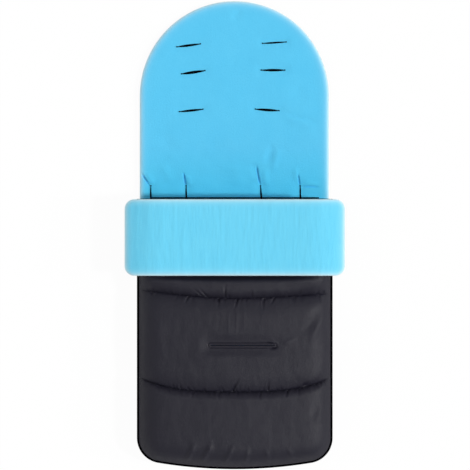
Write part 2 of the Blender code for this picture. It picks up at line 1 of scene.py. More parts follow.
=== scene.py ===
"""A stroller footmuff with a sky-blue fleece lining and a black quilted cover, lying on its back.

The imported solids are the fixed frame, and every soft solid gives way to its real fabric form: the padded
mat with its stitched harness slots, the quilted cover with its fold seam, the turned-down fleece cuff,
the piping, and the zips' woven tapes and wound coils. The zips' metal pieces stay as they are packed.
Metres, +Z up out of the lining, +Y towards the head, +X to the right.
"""

import math

import bmesh
import bpy
import numpy as np
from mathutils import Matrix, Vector, noise


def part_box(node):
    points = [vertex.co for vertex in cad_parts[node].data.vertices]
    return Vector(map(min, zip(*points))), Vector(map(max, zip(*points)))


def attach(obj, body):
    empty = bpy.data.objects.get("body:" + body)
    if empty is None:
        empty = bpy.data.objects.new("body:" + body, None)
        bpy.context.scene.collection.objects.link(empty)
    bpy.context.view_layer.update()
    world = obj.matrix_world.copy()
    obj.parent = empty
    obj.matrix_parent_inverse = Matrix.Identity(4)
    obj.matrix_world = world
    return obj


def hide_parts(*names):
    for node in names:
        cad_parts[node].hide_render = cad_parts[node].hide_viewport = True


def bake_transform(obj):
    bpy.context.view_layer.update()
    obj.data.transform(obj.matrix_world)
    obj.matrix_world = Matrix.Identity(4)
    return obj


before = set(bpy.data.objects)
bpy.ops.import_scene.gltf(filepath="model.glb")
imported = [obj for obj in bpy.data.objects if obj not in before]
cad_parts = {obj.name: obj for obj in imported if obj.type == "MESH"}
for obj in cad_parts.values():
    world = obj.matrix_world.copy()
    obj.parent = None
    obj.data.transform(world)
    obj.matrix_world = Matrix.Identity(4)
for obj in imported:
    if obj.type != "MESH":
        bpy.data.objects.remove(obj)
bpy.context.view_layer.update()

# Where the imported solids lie
MAT_LOW, MAT_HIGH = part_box("back_lining")
SHELL_LOW, SHELL_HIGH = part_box("lid_shell")
TAPE_LOW, TAPE_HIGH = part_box("mat_zip_tape_right")
LID_TAPE_LOW, LID_TAPE_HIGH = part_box("lid_zip_tape_right")
PIPING_LOW, PIPING_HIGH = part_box("toe_piping")
CUFF_LOW, CUFF_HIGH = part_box("cuff_face")
HEM_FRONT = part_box("mouth_hem")[1].y
WELT_LOW, WELT_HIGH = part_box("lid_welt")

CLEARANCE = 0.0003
CUT_OVERRUN = 0.0040
COVER_HALF = PIPING_HIGH.x
FOOT_PLACE = PIPING_LOW.y

# Meshes
MERGE_DISTANCE = 2e-6
LEAST_EDGE = 1e-7
FABRIC_CREASE = 40
SEWN_CREASE = 60
COIL_CREASE = 70

# Bumps in the fabrics: height, size, seed, and stretch along the footmuff
MAT_BUMPS = ((0.0011, 0.070, 1.3, 1.0), (0.00035, 0.022, 4.1, 1.0))
BACK_BUMPS = ((0.0004, 0.050, 2.2, 1.0),)
COVER_BUMPS = ((0.0012, 0.055, 3.0, 1.0), (0.0005, 0.017, 7.0, 1.6))
LINING_BUMPS = ((0.0005, 0.060, 9.0, 1.0),)
WALL_BUMPS = ((0.0006, 0.014, 5.0, 1.0),)
CUFF_BUMPS = ((0.0005, 0.0060, 2.0, 6.0), (0.0006, 0.014, 5.0, 3.5), (0.0007, 0.060, 8.0, 1.0))
FADE_RATE = 3

# Mat
MAT_HALF = MAT_HIGH.x
MAT_INSET = COVER_HALF - MAT_HALF
MAT_TOP = MAT_HIGH.z
MAT_SEAM = MAT_LOW.z
HEAD_CENTER = MAT_HIGH.y - MAT_HALF
UPPER_ROLL = 0.0130
LOWER_ROLL = 0.0180
# How far in from the outline the mat's painted sheen of paler colour fades
MAT_SHEEN_FADE = 0.0040
NARROWING = 0.0018
NARROWING_START = 0.1080

# Rows along the mat's straight part: from, to and step, closest together where the fleece creases
FIELD_START = -0.3000
LINING_ROWS = ((FIELD_START, 0.044, 0.0100), (0.044, 0.150, 0.0018), (0.150, HEAD_CENTER, 0.0042))
BACK_ROWS = ((FIELD_START, HEAD_CENTER, 0.0080),)

# Bands across the mat where its fleece creases above the waist slots
CREASED_BANDS = [(-0.1935, -0.1680), (-0.1080, -0.0950), (0.0400, 0.0580), (0.1270, 0.1370)]
CREASE_STEP = 0.0008

# Harness slots
STRAP_SLOT = 0.0520
CROTCH_SLOT = 0.0620
WAIST_PLACE = 0.0765
SLOT_HOLLOW = 0.0016
HOLLOW_START = 0.0020
HOLLOW_REACH = 0.0090
SLEEVE_FOOT = 0.0006
SLEEVE_RINGS = (0.0060, 0.0120)
CUTTER_POINTS = 44
LIP_DEPTH = 0.0013

# The satin-stitched lip, from the inside out: its growth, its height, and how much its stitches rise
SATIN_LIP = (
    (0.0, 0.0008, 0.0),
    (0.0003, 0.0011, 0.00014),
    (0.0007, 0.0010, 0.00014),
    (0.0010, 0.0005, 0.0),
    (0.0011, 0.0, 0.0),
)

# Bar tacks at the slots' ends
TACK_STEPS = 7
TACK_SIDES = 8
TACK_HALF = 0.0015
TACK_WIDTH = 0.0013
TACK_HEIGHT = 0.0009
TACK_SINK = 0.0004
TACK_RIDGE = 0.12
TACK_END = 0.02

# Foot end
FOOT_ARC_RADIUS = 0.960
FOOT_CORNER_RADIUS = 0.0520
FOOT_STEPS = 80
CORNER_STEPS = 18
PATH_STEP = 0.0040

# Cover
PIPING_REACH = 0.0048
PIPING_LAP = 0.0001
PIPING_ROWS = 130
SHELL_INSET = PIPING_REACH - PIPING_LAP
SHELL_HALF = COVER_HALF - SHELL_INSET
RIM = SHELL_LOW.z
CROWN = 0.1060
COVER_THICKNESS = 0.0168
QUILT_DEPTH = 0.0134
LINING_DEPTH = 0.0137
SHOULDER_REACH = 0.0550
TOE_REACH = 0.0600
SHOULDER_POWER = 2.9
CROWN_PUFF = 0.0048
CROWN_FALL = 0.0145
FALL_START = 0.0120
FALL_REACH = 0.0450
DEEPEST = 0.0130
GENTLE_SHARE = 0.7
LID_END = SHELL_HIGH.y
FOLD_START = -0.2914

# How finely the cover is divided
CROWN_COLUMNS = 190
SHOULDER_STEPS = 32
TOE_STEPS = 16
TOE_FIELD_ROWS = 48
LID_FIELD_ROWS = 40
LID_MOUTH_ROWS = 60

# Quilting seams: place in the middle, rise at the left and at the right side, and how late they rise
UPPER_SEAM = (-0.1295, 0.0175, 0.0100, 1.6)
HINGE_SEAM = (-0.3206, 0.0292, 0.0292, 3.2)
SEAM_GAP = 0.0001
SEAM_DIP = 0.0115
WAVER = 0.0006
WAVER_TURNS = (330, 127)
GROOVE_DEPTH = 0.0010
GROOVE_WIDTH = 0.0016

# How far each seam draws the cover in below and above it, as a round bowl with a sharp valley in it
UPPER_REACHES = (0.0460, 0.0180)
HINGE_REACHES = (0.0170, 0.0400)
BOWL_SHARE = 0.65
VALLEY_SHARE = 0.35

# Where the cuff lies on the cover and its lower edge presses in
PRESSED_DEPTH = 0.0160
PRESSED_REACH = 0.0082
PRESSED_SETBACK = 0.0020
PRESSED_EASE = 0.8
PRESSED_POWER = 2.5
COVERED_START = 0.0040
COVERED_REACH = 0.0060

# Puckers: their shape, and the ranges that the small ones are drawn from
PUCKER_WIDTH = 0.0033
PUCKER_STRENGTH = 1.8
PUCKER_SIDES = 1.1
PUCKER_START = 0.0030
SCATTER_HALF = 0.1860
SCATTER_COUNT = 46
SCATTER_SHIFTS = (0.1, 0.9)
SCATTER_LENGTHS = (0.007, 0.016)
SCATTER_DEPTHS = (0.0004, 0.0016)
SCATTER_SLANTS = (-0.5, 0.5)

# Stitches in the quilting seams
STITCHED_HALF = 0.1800
STITCH_PITCH = 0.0034
STITCH_LENGTH = 0.0023
STITCH_RADIUS = 0.0003
STITCH_LIFT = 0.0004
STITCH_ARCH = (-0.0003, 0.0002, 0.0002, -0.0003)

# The cover's fleece inside
LINING_SINK = 0.0016
DRAWN_RISE = 0.0012
DRAWN_REACH = 0.0070

# Welted slit
WELT_MIDDLE = (WELT_LOW.y + WELT_HIGH.y) / 2
WELT_HALF_GAP = 0.0006
WELT_LIP = 0.0034
WELT_WALL = 0.0024
WELT_EDGE = 0.0046
WELT_GROOVE = 0.0014
WELT_GROOVE_WIDTH = 0.0016
WELT_CALM = 0.0050
WELT_CALM_REACH = 0.0220
WELT_BAND = 0.0091
WELT_ROW_STEP = 0.0007
WELT_ROUNDNESS = 0.4
WELT_CUT = (CROWN - 0.030, CROWN + 0.010)

# The welt's lips, from the slit over the top and down their outside: how far out, and how far below the top
WELT_LIPS = (
    (-0.0004, 0.0014),
    (-0.0001, 0.0007),
    (0.0008, 0.0001),
    (0.0018, 0.0),
    (0.0027, 0.0003),
    (WELT_LIP, 0.0009),
    (WELT_LIP - 0.0002, 0.0013),
    (WELT_WALL, 0.0014),
)

# Wall round the feet
WALL_THICKNESS = 0.0007
WALL_BELLY = 0.0004
WALL_SHIFT = 0.0040
WALL_STEPS = 8

# Mouth: how far back and how deep the binding's rounded front lies, and the black fabric that turns over it,
# whose front makes a painted shadow line under the cuff's upper edge
BINDING_SINK = 0.0002
BINDING_FRONT = ((0.0012, 0.0002), (0.0004, 0.0010), (0.0, 0.0026))
MOUTH_BULGE = 0.0020
MOUTH_HALF = 0.1720
MOUTH_DEPTH = 0.0030
MOUTH_TUCK = 0.0012
MOUTH_WALL = 0.0006
MOUTH_STEPS = 8

# Cuff
CUFF_TURN = 0.0012
CUFF_MIDDLE = (CUFF_LOW.y + CUFF_HIGH.y - CUFF_TURN) / 2
CUFF_HALF = CUFF_HIGH.x
CUFF_REACH = (CUFF_HIGH.y - CUFF_LOW.y - CUFF_TURN) / 2
CUFF_TOP = CUFF_HIGH.z
CUFF_SEAM = 0.1153
CUFF_BASE = 0.1063
CUFF_SINK = 0.0009
CUFF_ROLL = 0.0130
CUFF_ROLL_STEPS = 9
CUFF_COLUMNS = 230
CUFF_ROWS = 60
CUFF_CORNER = 0.0200
CUFF_DROOP = 0.0240
CUFF_DROOP_START = 0.1500
# How far in from the outline the cuff's painted sheen of paler colour fades
CUFF_SHEEN_FADE = 0.0042

# Zips
CHAIN_HEIGHT = 0.0325
TAPE_STEP = 0.0030
TAPE_COLUMNS = 8
TAPE_LAP = 0.0004
COIL_OFFSET = 0.0020
COIL_REACH = 0.00052
COIL_SWING = 0.00104
COIL_PITCH = 0.0017
COIL_THREAD = 0.00036
COIL_SIDES = 7
GUARD_SETBACK = 0.0026
GUARD_WALL = 0.0007
GUARD_FOOT = 0.0285
GUARD_FOLD = 0.0384
GUARD_HEAD = 0.0440
GUARD_SLOPE = 0.0004
GUARD_LAP = 0.0001
GUARD_ENDS = (0.0050, 0.0040)

# Fleece: the paler colour painted along its rolled edges as painted sheen, the deeper blue painted towards
# the mouth as painted shade, and where along the mat that painted shade starts and how fast it deepens
PAINTED_EDGE_SHEEN = (0.780, 0.970, 1.000, 1)
PAINTED_MOUTH_SHADE = (0.050, 0.620, 0.910, 1)
PAINTED_SHADE_START = 0.180
PAINTED_SHADE_RATE = 11.0

# Camera
CAMERA_LENS = 500.0
CAMERA_SENSOR = 36.0
CAMERA_REACH = 60.0
VIEW_WIDTH = 0.9620
VIEW_HEIGHT = 0.060
VIEW_CENTER = (0.0005, -0.0002)

# Light: each lamp's lean is its degrees to the right and towards the foot
SKY_LIGHT = 0.50
SKY_SLOPE = -0.24
LAMP_LIGHT = 1.66
LAMP_LEAN = (36.0, 4.0)
LOW_LAMP_LIGHT = 0.55
LOW_LAMP_LEAN = (60.0, 4.0)
LAMP_SPREAD = 5.0
LAMP_HEIGHT = 2.0
FLOOR_HALF = 20.0
FLOOR_DROP = 0.0004
FLOOR_GLOW = 0.96


def smooth_step(share):
    share = np.clip(share, 0, 1)
    return share * share * (3 - 2 * share)


def swell(share):
    """How far a rounded edge has risen at a share of its reach, from 0 to 1."""
    share = np.clip(share, 0, 1)
    return (1 - (1 - share) ** SHOULDER_POWER) ** (1 / SHOULDER_POWER)


def edge_shares(steps):
    """Shares of a rounded edge's reach, close together where it stands steepest."""
    turns = np.linspace(0, 1, steps + 1) * math.pi / 2
    return 1 - np.abs(np.cos(turns)) ** (2 / SHOULDER_POWER)


def eased(steps):
    """Shares from 0 to 1, closer together at both ends."""
    share = np.linspace(0, 1, steps + 1)
    return 0.4 * share + 0.6 * (1 - np.cos(math.pi * share)) / 2


def unevenness(x, y, size, seed, stretch):
    """Smooth bumps of a size, between about -1 and 1, stretched along the footmuff."""
    x, y = np.broadcast_arrays(x, y)
    spots = zip(x.ravel() / size, y.ravel() / (size * stretch))
    heights = [noise.noise(Vector((a, b, seed))) for a, b in spots]
    return np.array(heights).reshape(x.shape)


def bumps(x, y, rows):
    """The sum of bumps of several heights and sizes."""
    return sum(height * unevenness(x, y, *row) for height, *row in rows)


def along_line(x, y, start, end):
    """How far each place lies along a line, from 0 to 1, and how far off it."""
    (x1, y1), (x2, y2) = start, end
    length = math.hypot(x2 - x1, y2 - y1)
    share = ((x - x1) * (x2 - x1) + (y - y1) * (y2 - y1)) / length**2
    nearest = np.clip(share, 0, 1)
    off = np.hypot(x - x1 - nearest * (x2 - x1), y - y1 - nearest * (y2 - y1))
    return share, off


def fold(x, y, start, end, width, height):
    """A soft ridge between two places, or a crease where the height is below zero. It fades at both ends."""
    share, off = along_line(x, y, start, end)
    taper = smooth_step(share * FADE_RATE) * smooth_step((1 - share) * FADE_RATE)
    return height * taper * np.exp(-((off / width) ** 2))


def folds(x, y, rows):
    """The sum of several ridges and creases."""
    return sum(fold(x, y, *row) for row in rows)


class Cloth:
    """Points and faces of one piece while it is being made."""

    def __init__(self):
        self.points = []
        self.faces = []

    def add(self, points):
        start = len(self.points)
        self.points += [tuple(float(value) for value in point) for point in points]
        return np.arange(start, len(self.points))

    def strip(self, first, second):
        for i in range(len(first) - 1):
            self.faces.append((first[i], first[i + 1], second[i + 1], second[i]))

    def slab(self, top, under):
        """A closed sheet between two grids with as many rows and columns."""
        shape = top.shape[:2]
        upper = self.add(top.reshape(-1, 3)).reshape(shape)
        lower = self.add(under.reshape(-1, 3)).reshape(shape)
        for i in range(shape[0] - 1):
            self.strip(upper[i], upper[i + 1])
            self.strip(lower[i + 1], lower[i])
        for grid_side in (lambda g: g[0], lambda g: g[-1], lambda g: g[:, 0], lambda g: g[:, -1]):
            self.strip(grid_side(upper), grid_side(lower))

    def rings(self, rings, looped=False):
        """A tube through closed rings of as many points, capped unless it is looped."""
        laid = [self.add(ring) for ring in rings]
        pairs = list(zip(laid, laid[1:]))
        if looped:
            pairs.append((laid[-1], laid[0]))
        for lower, upper in pairs:
            self.strip(np.append(lower, lower[0]), np.append(upper, upper[0]))
        if not looped:
            self.faces += [tuple(laid[0]), tuple(laid[-1])]

    def piece(self, name, crease=FABRIC_CREASE):
        mesh = bpy.data.meshes.new(name)
        mesh.from_pydata(self.points, [], [tuple(int(i) for i in face) for face in self.faces])
        made = bpy.data.objects.new(name, mesh)
        bpy.context.scene.collection.objects.link(made)
        close_up(made, crease)
        return made


def close_up(piece, crease=FABRIC_CREASE):
    """Merges what coincides, turns the faces out and shades the fabric smooth."""
    shape = bmesh.new()
    shape.from_mesh(piece.data)
    bmesh.ops.remove_doubles(shape, verts=shape.verts, dist=MERGE_DISTANCE)
    bmesh.ops.dissolve_degenerate(shape, edges=shape.edges, dist=LEAST_EDGE)
    bmesh.ops.recalc_face_normals(shape, faces=shape.faces)
    shape.to_mesh(piece.data)
    shape.free()
    piece.data.shade_smooth()
    piece.data.set_sharp_from_angle(angle=math.radians(crease))


def select_only(piece):
    for other in bpy.context.selected_objects:
        other.select_set(False)
    bpy.context.view_layer.objects.active = piece
    piece.select_set(True)


def carve(piece, tool):
    """Cuts a tool's shape out of a piece and throws the tool away."""
    cut = piece.modifiers.new("cut", "BOOLEAN")
    cut.operation = "DIFFERENCE"
    cut.solver = "EXACT"
    cut.object = tool
    select_only(piece)
    bpy.ops.object.modifier_apply(modifier=cut.name)
    close_up(piece)


def discard(tool):
    bpy.data.objects.remove(tool, do_unlink=True)


def mark_sheen_rim(piece, distance, reach):
    """Notes on each point how near the sewn outline it lies, from 1 on it to 0 well inside, for the paler
    colour painted there as sheen.
    """
    points = np.empty(3 * len(piece.data.vertices))
    piece.data.vertices.foreach_get("co", points)
    x, y = points[0::3], points[1::3]
    near = np.exp(-np.maximum(distance(x, y), 0) / reach)
    rim = piece.data.attributes.new("rim", "FLOAT", "POINT")
    rim.data.foreach_set("value", near.astype(np.float32))


def dress(piece, finish, replaced=()):
    """Gives a piece its material, and hides the imported nodes that it stands for."""
    piece.data.materials.clear()
    piece.data.materials.append(finish)
    if replaced:
        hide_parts(*replaced)
    return piece


def bend_with_lid(piece):
    """Bakes the placing of a lid piece into its points, where it stays: its fabric doesn't roll over at the
    fold.
    """
    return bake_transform(piece)


# The foot's outline, seen from above


def foot_corner(inset):
    """The middle and radius of the foot's round corner, and the angle at which it meets the long arc."""
    across = COVER_HALF - FOOT_CORNER_RADIUS
    down = math.sqrt((FOOT_ARC_RADIUS - FOOT_CORNER_RADIUS) ** 2 - across**2)
    center = (across, FOOT_PLACE + FOOT_ARC_RADIUS - down)
    return center, FOOT_CORNER_RADIUS - inset, -math.atan2(down, across)


def foot_edge(x, inset):
    """How far down the foot outline lies at places across it."""
    center, radius, meeting = foot_corner(inset)
    across = np.minimum(np.abs(x), COVER_HALF - inset)
    corner = center[1] - np.sqrt(np.maximum(radius**2 - (across - center[0]) ** 2, 0))
    long_radius = FOOT_ARC_RADIUS - inset
    shallow = FOOT_PLACE + FOOT_ARC_RADIUS - np.sqrt(long_radius**2 - across**2)
    return np.where(across > center[0] + radius * math.cos(meeting), corner, shallow)


def arc(center, radius, start, end, steps):
    turns = np.linspace(start, end, steps + 1)
    return [(center[0] + radius * math.cos(a), center[1] + radius * math.sin(a)) for a in turns]


def foot_path(inset, start_place):
    """The outline from the left side, round the foot and up the right side, in even steps."""
    center, radius, meeting = foot_corner(inset)
    right = arc(center, radius, meeting, 0, CORNER_STEPS)
    left = [(-x, y) for x, y in reversed(right)]
    middle = (0, FOOT_PLACE + FOOT_ARC_RADIUS)
    foot = arc(middle, FOOT_ARC_RADIUS - inset, -math.pi - meeting, meeting, FOOT_STEPS)
    side = COVER_HALF - inset
    corner = right[-1][1]
    steps = max(int((start_place - corner) / PATH_STEP), 2)
    rises = np.linspace(start_place, corner, steps + 1)[:-1]
    down = [(-side, y) for y in rises]
    up = [(side, y) for y in rises[::-1]]
    return np.array(down + left + foot[1:-1] + right + up)


def sweep(cloth, path, section):
    """Carries a section of places outwards and upwards along a level path."""
    path = np.asarray(path, float)
    heading = np.gradient(path[:, :2], axis=0)
    heading /= np.linalg.norm(heading, axis=1)[:, None]
    rings = []
    for (x, y, z), (across, along) in zip(path, heading):
        rings.append([(x + along * out, y - across * out, z + up) for out, up in section])
    cloth.rings(rings)


def round_section(radius, sides=12):
    turns = [2 * math.pi * i / sides for i in range(sides)]
    return [(radius * math.cos(a), radius * math.sin(a)) for a in turns]


# Slots in the mat


class Slot:
    """A stitched slot in the mat. Its places run along it, across it and up."""

    SLEEVE_WALL = 0.0006
    END_WALL = 0.0030
    LEAN = 0.0036
    FOOT_NARROWING = 0.45
    OPENING_POWER = 2.0
    LIP_POWER = 0.5
    STITCHES = 132

    def __init__(self, name, middle, tilt, half_gap=0.0014, bend=0.0, length=STRAP_SLOT):
        self.name = name
        self.middle = middle
        self.reach = length / 2 - self.END_WALL
        self.tilt = math.radians(tilt)
        self.half_gap = half_gap
        self.bend = bend

    def place(self, along, across, z):
        across = across + self.bend * along**2
        turn = math.cos(self.tilt), math.sin(self.tilt)
        x = self.middle[0] + along * turn[0] - across * turn[1]
        y = self.middle[1] + along * turn[1] + across * turn[0]
        return (x, y, z)

    def ring(self, grow, z, points=STITCHES):
        """The opening's outline at a height, grown outwards. It narrows and leans towards the mat's back."""
        share = min(max(z / MAT_TOP, 0), 1)
        gap = self.half_gap * (self.FOOT_NARROWING + (1 - self.FOOT_NARROWING) * share)
        lean = self.LEAN * (1 - share)
        ring = []
        for i in range(points):
            turn = 2 * math.pi * (i + 0.5) / points
            wide = math.sin(turn)
            spread = gap * abs(wide) ** self.OPENING_POWER + grow * abs(wide) ** self.LIP_POWER
            across = math.copysign(spread, wide) - lean
            ring.append(self.place((self.reach + grow) * math.cos(turn), across, z))
        return ring

    def distance(self, x, y):
        """How far off the slot's line each place lies."""
        ends = [self.place(side * self.reach, 0, 0)[:2] for side in (-1, 1)]
        return along_line(x, y, ends[0], ends[1])[1]


# Each slot's middle, tilt in degrees, half width of its opening, and bend of its middle line
SLOTS = [
    Slot("shoulder_slot_left_upper", (-0.0947, 0.3892), 7.0, 0.0013),
    Slot("shoulder_slot_right_upper", (0.0813, 0.3948), 3.4, 0.0007),
    Slot("shoulder_slot_left_middle", (-0.0854, 0.3340), 8.0, 0.0018),
    Slot("shoulder_slot_right_middle", (0.0784, 0.3384), 0.0, 0.0015),
    Slot("shoulder_slot_left_lower", (-0.0895, 0.2556), 6.0, 0.0012),
    Slot("shoulder_slot_right_lower", (0.0666, 0.2567), -3.5, 0.0016),
    Slot("waist_slot_left_outer", (-0.1725, WAIST_PLACE), 92.0, 0.0006, -2.0),
    Slot("waist_slot_left_inner", (-0.0995, WAIST_PLACE), 93.0, 0.0006, -1.5),
    Slot("waist_slot_right_inner", (0.0545, WAIST_PLACE), 95.5, 0.0008, -1.5),
    Slot("waist_slot_right_outer", (0.1345, WAIST_PLACE), 90.0, 0.0006),
    Slot("crotch_slot", (-0.0060, -0.0600), 0.0, length=CROTCH_SLOT),
]

# Creases and soft folds in the mat's fleece: from, to, half width, height
MAT_FOLDS = [
    ((0.0905, 0.2545), (0.1790, 0.2255), 0.0040, -0.0022),
    ((0.0950, 0.2470), (0.1760, 0.2180), 0.0080, 0.0014),
    ((0.0790, 0.1900), (0.0640, 0.1420), 0.0070, -0.0022),
    ((0.0920, 0.1820), (0.0760, 0.1250), 0.0060, 0.0016),
    ((0.0380, 0.1500), (0.0440, 0.1150), 0.0060, -0.0016),
    ((-0.1935, 0.1290), (-0.1735, 0.0985), 0.0016, -0.0052),
    ((-0.1820, 0.1290), (-0.1650, 0.1010), 0.0050, 0.0016),
    ((-0.1055, 0.1290), (-0.1000, 0.0980), 0.0016, -0.0056),
    ((-0.0960, 0.1250), (-0.0920, 0.0980), 0.0050, 0.0014),
    ((0.0440, 0.1440), (0.0525, 0.0980), 0.0017, -0.0060),
    ((0.0620, 0.1400), (0.0640, 0.0980), 0.0060, 0.0018),
    ((0.1300, 0.1260), (0.1340, 0.0990), 0.0016, -0.0044),
    ((0.1290, 0.0992), (0.1800, 0.0975), 0.0018, -0.0032),
    ((0.1420, 0.1060), (0.1760, 0.1040), 0.0040, 0.0012),
    ((0.1240, 0.1420), (0.1270, 0.1060), 0.0050, 0.0014),
    ((0.0150, 0.4650), (-0.0060, 0.4380), 0.0080, -0.0014),
    ((-0.1500, 0.1500), (-0.1280, 0.1020), 0.0090, 0.0014),
    ((0.0020, 0.1500), (0.0080, 0.0950), 0.0150, 0.0012),
    ((-0.1560, 0.2150), (-0.1300, 0.1650), 0.0150, -0.0010),
    ((0.1150, 0.3000), (0.1500, 0.2700), 0.0150, -0.0010),
]


# Making the mat


def mat_places(columns, head_rows, foot_rows, side_rows, creased=()):
    """Places over the mat, from the foot to the top of its round head."""
    turn = np.linspace(-1, 1, columns + 1)
    across = (turn + np.sin(turn * math.pi / 2)) / 2
    for low, high in creased:
        across = across[(across * MAT_HALF < low) | (across * MAT_HALF > high)]
        across = np.append(across, np.arange(low, high, CREASE_STEP) / MAT_HALF)
    across = np.sort(across)
    x = MAT_HALF * across
    share = np.linspace(0, 1, foot_rows + 1)
    down = 0.35 * share + 0.65 * (1 - np.cos(share * math.pi / 2))
    foot = foot_edge(x, MAT_INSET)
    rows = [(x, foot + (FIELD_START - foot) * share) for share in down[:-1]]
    for band in side_rows:
        rows += [(x, np.full_like(x, y)) for y in np.arange(*band) if y < HEAD_CENTER]
    for angle in np.linspace(0, math.pi / 2, head_rows + 1):
        half = MAT_HALF * max(math.cos(angle), 0)
        rows.append((half * across, np.full_like(x, HEAD_CENTER + MAT_HALF * math.sin(angle))))
    return np.array([row[0] for row in rows]), np.array([row[1] for row in rows])


def mat_side_distance(x, y):
    return np.where(y > HEAD_CENTER, MAT_HALF - np.hypot(x, y - HEAD_CENTER), MAT_HALF - np.abs(x))


def mat_distance(x, y):
    """How far inside the mat's outline each place lies."""
    return np.minimum(mat_side_distance(x, y), y - foot_edge(x, MAT_INSET))


def mat_rise(x, y, reach):
    """How far the mat's rolled edge has risen, from 0 at the seam to 1 on its face."""
    foot = y - foot_edge(x, MAT_INSET)
    return swell(mat_side_distance(x, y) / reach) * swell(foot / reach)


def mat_relief(x, y):
    """The fleece's own unevenness: soft hollows round the slots, creases and folds."""
    height = bumps(x, y, MAT_BUMPS)
    for slot in SLOTS:
        off = slot.distance(x, y)
        near = np.exp(-((np.maximum(off - HOLLOW_START, 0) / HOLLOW_REACH) ** 2))
        height = height * (1 - near) - SLOT_HOLLOW * near
    return height + folds(x, y, MAT_FOLDS)


def make_mat(fleece, shell):
    """Fleece lining above the seam and black shell below it, both slotted."""
    x, y = mat_places(columns=146, head_rows=80, foot_rows=22, side_rows=LINING_ROWS, creased=CREASED_BANDS)
    rise = mat_rise(x, y, UPPER_ROLL)
    face = MAT_SEAM + CLEARANCE + (MAT_TOP - MAT_SEAM - CLEARANCE + mat_relief(x, y)) * rise
    bed = np.full_like(x, MAT_SEAM)
    lining = Cloth()
    lining.slab(np.dstack([x, y, face]), np.dstack([x, y, bed]))
    lining = lining.piece("mat_fleece_lining")

    x, y = mat_places(columns=96, head_rows=44, foot_rows=22, side_rows=BACK_ROWS)
    rise = mat_rise(x, y, LOWER_ROLL)
    seam = MAT_SEAM - CLEARANCE
    sag = np.abs(bumps(x, y, BACK_BUMPS))
    back = (seam - CLEARANCE) * (1 - rise) + sag * rise
    under = Cloth()
    under.slab(np.dstack([x, y, np.full_like(x, seam)]), np.dstack([x, y, back]))
    under = under.piece("mat_back_shell")

    tool = Cloth()
    grown = Slot.SLEEVE_WALL + CLEARANCE
    heights = (-CUT_OVERRUN, 0.0, *SLEEVE_RINGS, MAT_TOP, MAT_TOP + CUT_OVERRUN)
    for slot in SLOTS:
        tool.rings([slot.ring(grown, z, CUTTER_POINTS) for z in heights])
    tool = tool.piece("slot_cutter")
    carve(lining, tool)
    carve(under, tool)
    discard(tool)

    mark_sheen_rim(lining, mat_distance, MAT_SHEEN_FADE)
    draw_in_right_side(lining)
    draw_in_right_side(under)
    dress(lining, fleece, ["back_lining", "back_wadding"])
    dress(under, shell, ["back_shell"])
    for pad, fill in ((lining, 0.4), (under, 0.4)):
        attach(pad, "mat")


def draw_in_right_side(piece):
    """The mat is sewn a little narrower on its right side."""
    for vertex in piece.data.vertices:
        share = (vertex.co.x - NARROWING_START) / (MAT_HALF - NARROWING_START)
        vertex.co.x -= NARROWING * float(smooth_step(share))


def bar_tack(slot, side):
    """Rings of a plump bar of thread across one end of a slot."""
    rings = []
    for i in range(2 * TACK_STEPS + 1):
        share = i / TACK_STEPS - 1
        size = math.sqrt(max(1 - share**2, TACK_END)) * (1 + TACK_RIDGE * (-1) ** i)
        ring = []
        for turn in np.linspace(0, 2 * math.pi, TACK_SIDES + 1)[:-1]:
            along = side * (slot.reach + TACK_WIDTH) + TACK_WIDTH * size * math.cos(turn)
            up = MAT_TOP - TACK_SINK + TACK_HEIGHT * size * math.sin(turn)
            ring.append(slot.place(along, TACK_HALF * share, up))
        rings.append(ring)
    return rings


def make_slot_stitching(slot, thread):
    """A slot's sleeve, its satin-stitched lip and the bar tacks at its ends."""
    lip_under = MAT_TOP - LIP_DEPTH
    heights = (SLEEVE_FOOT, *SLEEVE_RINGS, lip_under)
    rings = [slot.ring(0, z) for z in heights]
    for grow, lift, ridge in SATIN_LIP:
        ring = slot.ring(grow, lip_under)
        rings.append([(x, y, z + lift + ridge * (-1) ** i) for i, (x, y, z) in enumerate(ring)])
    rings += [slot.ring(Slot.SLEEVE_WALL, z) for z in reversed(heights)]
    sleeve = Cloth()
    sleeve.rings(rings, looped=True)
    for side in (-1, 1):
        sleeve.rings(bar_tack(slot, side))
    piece = sleeve.piece(slot.name + "_stitching", crease=SEWN_CREASE)
    dress(piece, thread, [slot.name + "_binding"])
    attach(piece, "mat")


# Making the quilted cover


def cover_columns(depth):
    """Places across the cover with how far its arch has risen there, at a depth under its surface."""
    shares = edge_shares(SHOULDER_STEPS)
    crown_half = SHELL_HALF - SHOULDER_REACH
    outer = crown_half + (SHOULDER_REACH - depth) * (1 - shares)
    flat = np.linspace(-crown_half, crown_half, CROWN_COLUMNS + 1)[1:-1]
    x = np.concatenate([-outer, flat, outer[::-1]])
    rise = np.concatenate([swell(shares), np.ones(len(flat)), swell(shares)[::-1]])
    return x, rise


def arch_height(x):
    """How high the cover's plain arch stands at a place across it."""
    return RIM + (CROWN - RIM) * float(swell((SHELL_HALF - abs(x)) / SHOULDER_REACH))


def seam_place(seam, x):
    """Where along the cover a quilting seam lies, at places across it."""
    middle, left_rise, right_rise, power = seam
    return middle + np.where(x < 0, left_rise, right_rise) * (np.abs(x) / SHELL_HALF) ** power


